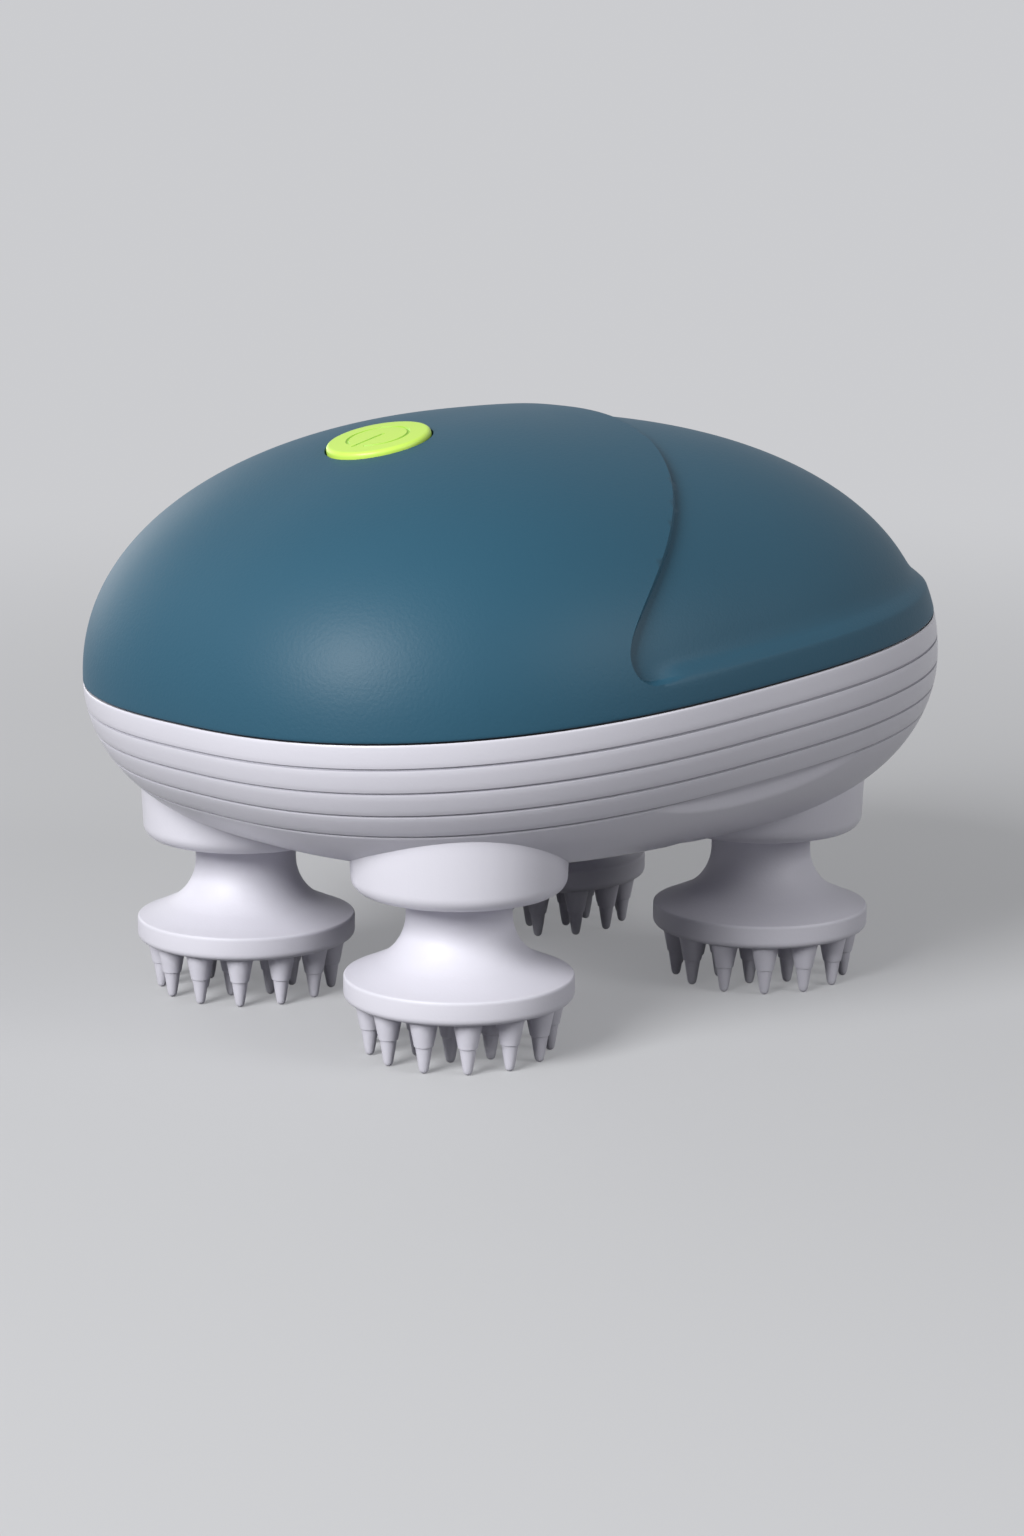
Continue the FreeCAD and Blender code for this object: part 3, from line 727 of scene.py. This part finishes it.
# The shell screws bite in the upright posts, and the control board hangs on those round the button.
for centre in screw_places:
    axis = upright_axis(centre)
    stand_post(cover, cover_outside, axis, radius=3.2, end=40.7, bore=1.5, bore_end=50.7)
board_hole_x = 10.0
board_hole_y = 9.0
for x in (-board_hole_x, board_hole_x):
    for y in (-board_hole_y, board_hole_y):
        axis = Axis(button_place @ Matrix.Translation((x, y, 0.0)))
        stand_post(cover, cover_outside, axis, radius=2.4, end=-10.5, bore=1.0, bore_end=-5.5)
join_rows(cover, cover_outer[0], cover_inner[0])
soft_touch = moulded_finish(
    "soft_touch_teal", (0.024, 0.092, 0.145), (0.021, 0.083, 0.133), (0.46, 0.54), (2200.0, 0.00003),
    shine=0.3,
)
upper_shell = finish_mesh("soft_touch_cover", cover, soft_touch, crease=40.0)
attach(upper_shell, "housing")
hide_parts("upper_shell")


# Power button
# A lime-green moulded disc that stands a little proud of the cover, with a rounded edge and the usual
# ring-and-bar sign sunk into its face. It slides down its hole on to the switch.
button_proud = 0.6
button_edge = 0.55
button_crown = 0.12
button_skirt = 3.6
button_flange_radius = 8.2
button_flange_height = 1.0
button_stem_radius = 2.4
button_stem_end = 6.2
button_sides = 120
face_rings = 32
face_ring_pitch = 0.2
sign_radius = 4.1
sign_half_width = 0.22
sign_depth = 0.14
sign_gap = math.radians(23.0)
sign_bar_ends = (-1.0, 4.5)
touching = 1e-6


def sign_field(flat):
    """Distance outside the sign's lines: an open ring and a bar through its opening, towards the front."""
    ahead = -flat.x
    if abs(math.atan2(flat.y, ahead)) >= sign_gap:
        ring = abs(math.hypot(ahead, flat.y) - sign_radius)
    else:
        end_ahead = sign_radius * math.cos(sign_gap)
        end_aside = sign_radius * math.sin(sign_gap)
        ring = math.hypot(ahead - end_ahead, abs(flat.y) - end_aside)
    along = min(max(ahead, sign_bar_ends[0]), sign_bar_ends[1])
    bar = math.hypot(ahead - along, flat.y)
    return min(ring, bar) - sign_half_width


def turned_mesh(outline, sides, centre=(0.0, 0.0)):
    """Closed mesh turned round an upright axis from (radius, height) points. A radius of 0 makes a tip."""
    axis = upright_axis(centre)
    rows = []
    for radius, height in outline:
        turns = turns_round(sides if radius > 0 else 1)
        rows.append([axis.ring_point(turn, radius, height) for turn in turns])
    mesh = bmesh.new()
    laid = lay_rows(mesh, rows)
    for end in (laid[0], laid[-1]):
        if len(end) > 1:
            mesh.faces.new(end)
    return mesh


button_outline = [(face_ring_pitch * k, button_proud) for k in range(1, face_rings + 1)]
button_outline += reversed(rounded_edge(button_radius, button_proud, button_edge, -1))
button_outline += [
    (button_radius, -button_skirt),
    (button_flange_radius, -button_skirt),
    (button_flange_radius, -button_skirt - button_flange_height),
    (button_stem_radius, -button_skirt - button_flange_height),
    (button_stem_radius, -button_stem_end),
    (0.0, -button_stem_end),
]
button = turned_mesh(button_outline, button_sides)
button_face = [f for f in button.faces if all(v.co.z > button_proud - touching for v in f.verts)]
sign_value = cut_along(button, button_face, sign_field)
# Faces inside the sunk sign take the second, darker lime: painted shade in its recess.
for face in button.faces:
    if all(sign_value.get(v, 1.0) <= 0 for v in face.verts):
        face.material_index = painted_shade_slot
for vertex, value in sign_value.items():
    if value < 0:
        vertex.co.z -= sign_depth
for vertex in button.verts:
    if vertex.co.z > 0:
        vertex.co.z -= button_crown * (math.hypot(vertex.co.x, vertex.co.y) / button_radius) ** 2
bmesh.ops.transform(button, matrix=button_place, verts=button.verts)
lime = moulded_finish(
    "lime_button", (0.62, 0.9, 0.13), (0.58, 0.86, 0.115), (0.36, 0.44), (2400.0, 0.00001)
)
# A darker lime for the sunk sign: painted shade.
lime_painted_shade = moulded_finish(
    "lime_sign", (0.37, 0.66, 0.06), (0.33, 0.61, 0.05), (0.4, 0.5), (2400.0, 0.00001)
)
power_button = finish_mesh("lime_power_button", button, lime)
power_button.data.materials.append(lime_painted_shade)
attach(power_button, "button")
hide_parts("power_button")


# Claw heads
# Each head is a mushroom-shaped moulded hub on a steel spindle, with a soft silicone pad pressed into its
# underside. The pad has a ring of tapered fingers and a smaller ring inside it, all with slender tips.
hub_sides = 128
hub_bore_radius = 2.5
hub_rim_radius = 15.0
hub_rim_bottom = 7.1
hub_rim_top = 9.85
hub_rim_round = 0.4
hub_rim_foot = (0.8, 1.0)
hub_rim_foot_corner = 0.2
hub_neck_radius = 6.9
hub_top = 22.4
hub_cove_radius = 11.0
hub_cove_bottom = 12.0
hub_cove_steps = 24
hub_cone_lean = math.radians(24.0)
pad_sides = 96
pad_radius = 13.9
pad_bottom = 6.9
pad_top = 8.6
pad_middle_radius = 0.5
pad_play = 0.1


def rounded_corner(corner, start, end, steps):
    """Quadratic bend from start to end round a corner, as (radius, height) points."""
    points = []
    for k in range(steps + 1):
        on = k / steps
        shares = ((1 - on) ** 2, 2 * on * (1 - on), on ** 2)
        points.append(tuple(sum(s * p for s, p in zip(shares, trio)) for trio in zip(start, corner, end)))
    return points


hub_bend = math.pi / 2 - hub_cone_lean
hub_cove_bend = (hub_cove_radius - hub_neck_radius) / (1 - math.cos(hub_bend))
hub_cove_top = hub_cove_bottom + hub_cove_bend * math.sin(hub_bend)
hub_outline = [
    (hub_bore_radius, hub_top),
    (hub_neck_radius - edge_break, hub_top),
    (hub_neck_radius, hub_top - edge_break),
]
for k in range(hub_cove_steps + 1):
    bend = hub_bend * k / hub_cove_steps
    hub_outline.append((
        hub_neck_radius + hub_cove_bend * (1 - math.cos(bend)),
        hub_cove_top - hub_cove_bend * math.sin(bend),
    ))
hub_cone_end = hub_rim_radius - hub_rim_round
hub_cone_bottom = hub_cove_bottom - math.tan(hub_cone_lean) * (hub_cone_end - hub_cove_radius)
hub_outline += rounded_corner(
    corner=(hub_rim_radius, hub_cone_bottom),
    start=(hub_cone_end, hub_cone_bottom),
    end=(hub_rim_radius, hub_rim_top),
    steps=8,
)
hub_outline += rounded_corner(
    corner=(hub_rim_radius, hub_rim_bottom + hub_rim_foot_corner),
    start=(hub_rim_radius, hub_rim_bottom + hub_rim_foot[1]),
    end=(hub_rim_radius - hub_rim_foot[0], hub_rim_bottom),
    steps=5,
)
hub_outline += [
    (pad_radius + pad_play, hub_rim_bottom),
    (pad_radius + pad_play, pad_top),
    (hub_bore_radius, pad_top),
]
pad_outline = [
    (pad_middle_radius, pad_bottom),
    (pad_radius - edge_break, pad_bottom),
    (pad_radius, pad_bottom + edge_break),
    (pad_radius, pad_top - pad_play),
    (pad_middle_radius, pad_top - pad_play),
]

finger_sides = 20
finger_tip_flat = 0.05
finger_tip_radius = 0.62
finger_tip_angles = (25.0, 45.0, 62.0, 78.0)
finger_cone_start = 0.55
finger_cone_power = 1.12
finger_shoulder_radius = 1.1
finger_shoulder_width = 0.02
finger_step_radius = 1.26
finger_step_height = 3.5
finger_step_rise = 0.1
finger_base_radius = 1.95
finger_root = 0.2
finger_outline = [(finger_tip_flat, 0.0)]
for angle in finger_tip_angles:
    bend = math.radians(angle)
    finger_outline.append((finger_tip_radius * math.sin(bend), finger_tip_radius * (1 - math.cos(bend))))
for share in (0.12, 0.35, 0.6, 0.82, 0.97):
    finger_outline.append((
        finger_tip_radius + (finger_shoulder_radius - finger_tip_radius) * share,
        finger_cone_start + (finger_step_height - finger_cone_start) * share ** finger_cone_power,
    ))
finger_outline.append((finger_shoulder_radius + finger_shoulder_width, finger_step_height))
finger_step_top = finger_step_height + finger_step_rise
for share in (0.0, 0.3, 0.65, 1.0):
    finger_outline.append((
        finger_step_radius + (finger_base_radius - finger_step_radius) * share,
        finger_step_top + (pad_bottom + finger_root - finger_step_top) * share,
    ))

hub_finish = moulded_finish(
    "pale_hub", (0.70, 0.69, 0.76), (0.67, 0.66, 0.73), (0.5, 0.58), (2600.0, 0.000012)
)
silicone = moulded_finish(
    "claw_silicone", (0.66, 0.65, 0.72), (0.62, 0.61, 0.68), (0.42, 0.52), (3200.0, 0.000012)
)
finger = finish_mesh("claw_finger", turned_mesh(finger_outline, finger_sides), silicone)

outer_fingers = 13
inner_fingers = 7
outer_ring_radius = 11.8
inner_ring_radius = 6.2
claws = node_group(
    "claw_rings",
    "GeometryNodeTree",
    inputs={
        "Pad": ("NodeSocketGeometry", None),
        "Finger": ("NodeSocketObject", None),
        "Outer Count": ("NodeSocketInt", outer_fingers),
        "Outer Radius": ("NodeSocketFloat", outer_ring_radius * millimetre),
        "Inner Count": ("NodeSocketInt", inner_fingers),
        "Inner Radius": ("NodeSocketFloat", inner_ring_radius * millimetre),
        "Centre": ("NodeSocketVector", None),
        "Turn": ("NodeSocketVector", None),
        "Finish": ("NodeSocketMaterial", None),
    },
    outputs={"Claws": ("NodeSocketGeometry", None)},
)


def hand_out(tree, shapes, finish, output):
    """End a geometry tree: make its instances real, give them their material and hand them out."""
    real = add_node(tree, "GeometryNodeRealizeInstances", {"Geometry": shapes})
    paint = add_node(tree, "GeometryNodeSetMaterial", {
        "Geometry": real.outputs["Geometry"],
        "Material": finish,
    })
    add_node(tree, "NodeGroupOutput", {output: paint.outputs["Geometry"]})


given = add_node(claws, "NodeGroupInput").outputs
finger_shape = add_node(claws, "GeometryNodeObjectInfo", {"Object": given["Finger"]})
together = add_node(claws, "GeometryNodeJoinGeometry")
for ring in ("Inner", "Outer"):
    circle = add_node(claws, "GeometryNodeMeshCircle", {
        "Vertices": given[ring + " Count"],
        "Radius": given[ring + " Radius"],
    })
    stand = add_node(claws, "GeometryNodeInstanceOnPoints", {
        "Points": circle.outputs["Mesh"],
        "Instance": finger_shape.outputs["Geometry"],
    })
    shift = add_node(claws, "GeometryNodeTransform", {
        "Geometry": stand.outputs["Instances"],
        "Translation": given["Centre"],
        "Rotation": given["Turn"],
    })
    set_inputs(together, {"Geometry": shift.outputs["Geometry"]})
set_inputs(together, {"Geometry": given["Pad"]})
hand_out(claws, together.outputs["Geometry"], given["Finish"], "Claws")


def grown_mesh(piece, tree, sizes):
    """Run a geometry tree on a piece with named sizes, and leave its result as the piece's plain mesh."""
    modifier = piece.modifiers.new(tree.name, "NODES")
    modifier.node_group = tree
    sockets = {item.name: item.identifier for item in tree.interface.items_tree if item.in_out == "INPUT"}
    for name, value in sizes.items():
        modifier[sockets[name]] = value
    evaluated = piece.evaluated_get(bpy.context.evaluated_depsgraph_get())
    grown = bpy.data.meshes.new_from_object(evaluated)
    piece.modifiers.remove(modifier)
    piece.data = grown
    grown.name = piece.name


claw_degrees = {"front_left": 11.5, "front_right": 4.8, "rear_left": 5.0, "rear_right": 0.0}
for corner, centre in head_centres.items():
    hub = finish_mesh("hub_" + corner, turned_mesh(hub_outline, hub_sides, centre), hub_finish)
    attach(hub, "head_" + corner)
    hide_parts("head_hub_" + corner)
    pad = finish_mesh("claws_" + corner, turned_mesh(pad_outline, pad_sides, centre), silicone)
    grown_mesh(pad, claws, {
        "Finger": finger,
        "Centre": (centre[0] * millimetre, centre[1] * millimetre, 0.0),
        "Turn": (0.0, 0.0, math.radians(claw_degrees[corner])),
        "Finish": silicone,
    })
    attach(pad, "head_" + corner)
    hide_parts("claw_pad_" + corner)
bpy.data.objects.remove(finger)


# Shell screws
# Zinc-plated pan-head screws that sit in counterbores under the bowl, with a cross recess each. They run
# up through the bowl's posts and bite in the cover's.
screw_sides = 48
screw_head_radius = 2.8
screw_head_height = 2.0
screw_head_edge = ((2.4, 0.06), (2.6, 0.2), (2.74, 0.45), (screw_head_radius, 0.8))
screw_face_rings = 15
screw_face_ring_pitch = 0.15
screw_radius = 1.5
screw_length = 21.0
cross_half_width = 0.42
cross_reach = 1.55
cross_depth = 0.9


def cross_field(point):
    """Distance outside the screw's cross recess."""
    long = max(abs(point.x), abs(point.y))
    short = min(abs(point.x), abs(point.y))
    return max(long - cross_reach, short - cross_half_width)


screw_outline = [(screw_face_ring_pitch * k, 0.0) for k in range(1, screw_face_rings + 1)]
screw_outline += screw_head_edge
screw_outline += [
    (screw_head_radius, screw_head_height),
    (screw_radius, screw_head_height),
    (screw_radius, screw_head_height + screw_length),
]
screw = turned_mesh(screw_outline, screw_sides)
screw_face = [f for f in screw.faces if all(abs(v.co.z) < touching for v in f.verts)]
cross_value = cut_along(screw, screw_face, cross_field)
cross_floor = [f for f in screw.faces if all(cross_value.get(v, 1.0) <= 0 for v in f.verts)]
sunk = bmesh.ops.extrude_face_region(screw, geom=cross_floor)["geom"]
bmesh.ops.delete(screw, geom=cross_floor, context="FACES_ONLY")
sunk_corners = [part for part in sunk if isinstance(part, bmesh.types.BMVert)]
bmesh.ops.translate(screw, vec=(0, 0, cross_depth), verts=sunk_corners)
zinc = moulded_finish(
    "zinc_screw", (0.62, 0.62, 0.63), (0.5, 0.5, 0.51), (0.26, 0.4), (1500.0, 0.00001), metallic=1.0
)
pattern = finish_mesh("screw_pattern", screw, zinc)

screws_tree = node_group(
    "screws_at_places",
    "GeometryNodeTree",
    inputs={
        "Places": ("NodeSocketGeometry", None),
        "Screw": ("NodeSocketObject", None),
        "Turn Seed": ("NodeSocketInt", 4),
        "Finish": ("NodeSocketMaterial", None),
    },
    outputs={"Screws": ("NodeSocketGeometry", None)},
)
given = add_node(screws_tree, "NodeGroupInput").outputs
screw_shape = add_node(screws_tree, "GeometryNodeObjectInfo", {"Object": given["Screw"]})
quarter_turn = (0.0, 0.0, math.pi / 2)
screw_turn = add_node(
    screws_tree,
    "FunctionNodeRandomValue",
    {"Min": (0.0, 0.0, 0.0), "Max": quarter_turn, "Seed": given["Turn Seed"]},
    data_type="FLOAT_VECTOR",
)
stand = add_node(screws_tree, "GeometryNodeInstanceOnPoints", {
    "Points": given["Places"],
    "Instance": screw_shape.outputs["Geometry"],
    "Rotation": screw_turn.outputs["Value"],
})
hand_out(screws_tree, stand.outputs["Instances"], given["Finish"], "Screws")

screw_points = []
for centre in screw_places:
    head_bottom = screw_seat(centre) - screw_head_height
    screw_points.append(Vector((*centre, head_bottom)) * millimetre)
screw_data = bpy.data.meshes.new("shell_screw_set")
screw_data.from_pydata(screw_points, [], [])
shell_screws = add_object("shell_screw_set", screw_data)
grown_mesh(shell_screws, screws_tree, {"Screw": pattern, "Finish": zinc})
bpy.data.objects.remove(pattern)
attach(shell_screws, "housing")
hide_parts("shell_screws")


# Seal, charging plate and what the shells hide
# The seal is a black rubber cord in the parting line, the charging plate a black moulding with gold-plated
# contacts. The drive, the motor and the cell sit on a deck inside, and the board hangs under the button.
# All of them keep their CAD shapes.
slot_finishes = {
    "dark_seal": moulded_finish(
        "seal_rubber", (0.022, 0.024, 0.03), (0.016, 0.018, 0.022), (0.5, 0.65), (1800.0, 0.00002)
    ),
    "screw_steel": zinc,
    "axle_steel": moulded_finish(
        "ground_steel", (0.6, 0.6, 0.61), (0.52, 0.52, 0.53), (0.2, 0.34), (1800.0, 0.000006), metallic=1.0
    ),
    "gear_acetal": moulded_finish(
        "gear_acetal", (0.72, 0.7, 0.63), (0.66, 0.64, 0.57), (0.35, 0.48), (1800.0, 0.00001)
    ),
    "deck_plastic": moulded_finish(
        "deck_nylon", (0.11, 0.115, 0.125), (0.09, 0.095, 0.1), (0.5, 0.62), (1400.0, 0.00003)
    ),
    "cell_wrap": moulded_finish(
        "cell_foil", (0.46, 0.5, 0.56), (0.4, 0.44, 0.5), (0.3, 0.45), (700.0, 0.00004), metallic=1.0
    ),
    "motor_steel": moulded_finish(
        "motor_nickel", (0.56, 0.55, 0.53), (0.48, 0.47, 0.45), (0.22, 0.36), (1500.0, 0.000008), metallic=1.0
    ),
    "dark_plastic": moulded_finish(
        "black_plastic", (0.02, 0.02, 0.023), (0.014, 0.014, 0.016), (0.3, 0.42), (2200.0, 0.000015), coat=0.1
    ),
    "board_green": moulded_finish(
        "solder_mask", (0.012, 0.13, 0.05), (0.009, 0.1, 0.04), (0.25, 0.38), (900.0, 0.000015), coat=0.3
    ),
    "sintered_bronze": moulded_finish(
        "sintered_bronze", (0.44, 0.27, 0.12), (0.34, 0.2, 0.085), (0.42, 0.58), (3000.0, 0.00002),
        metallic=1.0,
    ),
    "gilt_contact": moulded_finish(
        "gold_plate", (0.86, 0.62, 0.24), (0.78, 0.54, 0.19), (0.16, 0.26), (1500.0, 0.000005), metallic=1.0
    ),
    "lime_button": lime,
    "pale_bowl": pale_bowl,
    "pale_hub": hub_finish,
    "claw_silicone": silicone,
    "soft_touch_cover": soft_touch,
}
for subpart in frame["record"]["subparts"]:
    cad_mesh = nodes[subpart["node"]].data
    cad_mesh.materials.clear()
    cad_mesh.materials.append(slot_finishes[subpart["material_slot"]])


# Camera, light and floor
# A pale floor under soft studio light, seen from the photograph's place. The floor and what lies behind it
# show as one pale tone, also in reflections, and light the piece only a little.
camera_place = (-0.31796, -0.33662, 0.12445)
camera_yaw = math.radians(-43.2527)
camera_pitch = math.radians(11.5636)
camera_roll = math.radians(0.194)
camera = bpy.data.cameras.new("camera")
camera.sensor_fit = "VERTICAL"
camera.sensor_height = 36.0
camera.lens = 79.71
camera.clip_start = 0.01
viewer = add_object("camera", camera)
viewer.matrix_world = (
    Matrix.Translation(camera_place)
    @ Matrix.Rotation(camera_yaw, 4, "Z")
    @ Matrix.Rotation(math.pi / 2 - camera_pitch, 4, "X")
    @ Matrix.Rotation(camera_roll, 4, "Z")
)
bpy.context.scene.camera = viewer
bpy.context.scene.view_settings.view_transform = "Standard"


def seen_rays(tree):
    """Socket that is 1 for rays that show a surface: straight to the camera, or by way of gloss or glass."""
    rays = add_node(tree, "ShaderNodeLightPath").outputs
    gloss = add_node(tree, "ShaderNodeMath", {0: rays["Is Camera Ray"], 1: rays["Is Glossy Ray"]})
    glass = add_node(
        tree, "ShaderNodeMath", {0: gloss.outputs["Value"], 1: rays["Is Transmission Ray"]}, use_clamp=True
    )
    return glass.outputs["Value"]


backdrop_colour = (0.6, 0.605, 0.625, 1.0)
floor_colour = (0.6, 0.605, 0.62, 1.0)
floor_unseen_colour = (0.11, 0.11, 0.12, 1.0)
floor_finish = bpy.data.materials.new("pale_floor")
floor_finish.use_nodes = True
floor_tree = floor_finish.node_tree
floor_seen = seen_rays(floor_tree)
floor_tones = {"Factor": floor_seen, "A": floor_unseen_colour, "B": floor_colour}
floor_tone = add_node(floor_tree, "ShaderNodeMix", floor_tones, data_type="RGBA")
floor_shader = floor_tree.nodes["Principled BSDF"]
set_inputs(floor_shader, {"Base Color": floor_tone.outputs["Result"], "Roughness": 0.8})
floor_place = add_node(floor_tree, "ShaderNodeTexCoord").outputs["Object"]
floor_distance = add_node(floor_tree, "ShaderNodeVectorMath", {0: floor_place}, operation="LENGTH")
floor_fade = add_node(
    floor_tree,
    "ShaderNodeMapRange",
    {"Value": floor_distance.outputs["Value"], "From Min": 0.05, "From Max": 0.55, "To Min": 0.35},
    interpolation_type="SMOOTHSTEP",
)
floor_share = add_node(
    floor_tree, "ShaderNodeMath", {0: floor_fade.outputs["Result"], 1: floor_seen}, operation="MULTIPLY"
)
floor_glow = add_node(floor_tree, "ShaderNodeEmission", {"Color": backdrop_colour})
floor_mix = add_node(floor_tree, "ShaderNodeMixShader", {
    "Fac": floor_share.outputs["Value"],
    1: floor_shader.outputs["BSDF"],
    2: floor_glow.outputs["Emission"],
})
set_inputs(floor_tree.nodes["Material Output"], {"Surface": floor_mix.outputs["Shader"]})
floor_mesh = bmesh.new()
bmesh.ops.create_circle(floor_mesh, cap_ends=True, segments=96, radius=6.0)
floor_data = bpy.data.meshes.new("floor")
floor_mesh.to_mesh(floor_data)
floor_mesh.free()
floor_data.materials.append(floor_finish)
floor = add_object("floor", floor_data)


def soft_box(name, place, target, size, power):
    """Rectangular soft light that looks at a point."""
    lamp = bpy.data.lights.new(name, "AREA")
    lamp.shape = "RECTANGLE"
    lamp.size, lamp.size_y = size
    lamp.energy = power
    aim = (Vector(target) - Vector(place)).to_track_quat("-Z", "Y").to_matrix().to_4x4()
    add_object(name, lamp).matrix_world = Matrix.Translation(place) @ aim


soft_box("key", place=(-0.85, -0.14, 0.55), target=(0.0, 0.0, 0.05), size=(0.45, 0.45), power=12.0)
soft_box("fill", place=(0.3, -0.9, 0.5), target=(0.0, 0.0, 0.04), size=(0.5, 0.4), power=3.0)
soft_box("rear", place=(0.1, 0.95, 0.25), target=(0.0, 0.0, 0.04), size=(0.6, 0.4), power=1.4)
world = bpy.data.worlds.new("studio")
bpy.context.scene.world = world
world.use_nodes = True
world_tree = world.node_tree
world_light = world_tree.nodes["Background"]
set_inputs(world_light, {"Color": (0.9, 0.92, 0.95, 1.0), "Strength": 0.06})
world_seen = add_node(world_tree, "ShaderNodeBackground", {"Color": backdrop_colour})
world_mix = add_node(world_tree, "ShaderNodeMixShader", {
    "Fac": seen_rays(world_tree),
    1: world_light.outputs["Background"],
    2: world_seen.outputs["Background"],
})
set_inputs(world_tree.nodes["World Output"], {"Surface": world_mix.outputs["Shader"]})
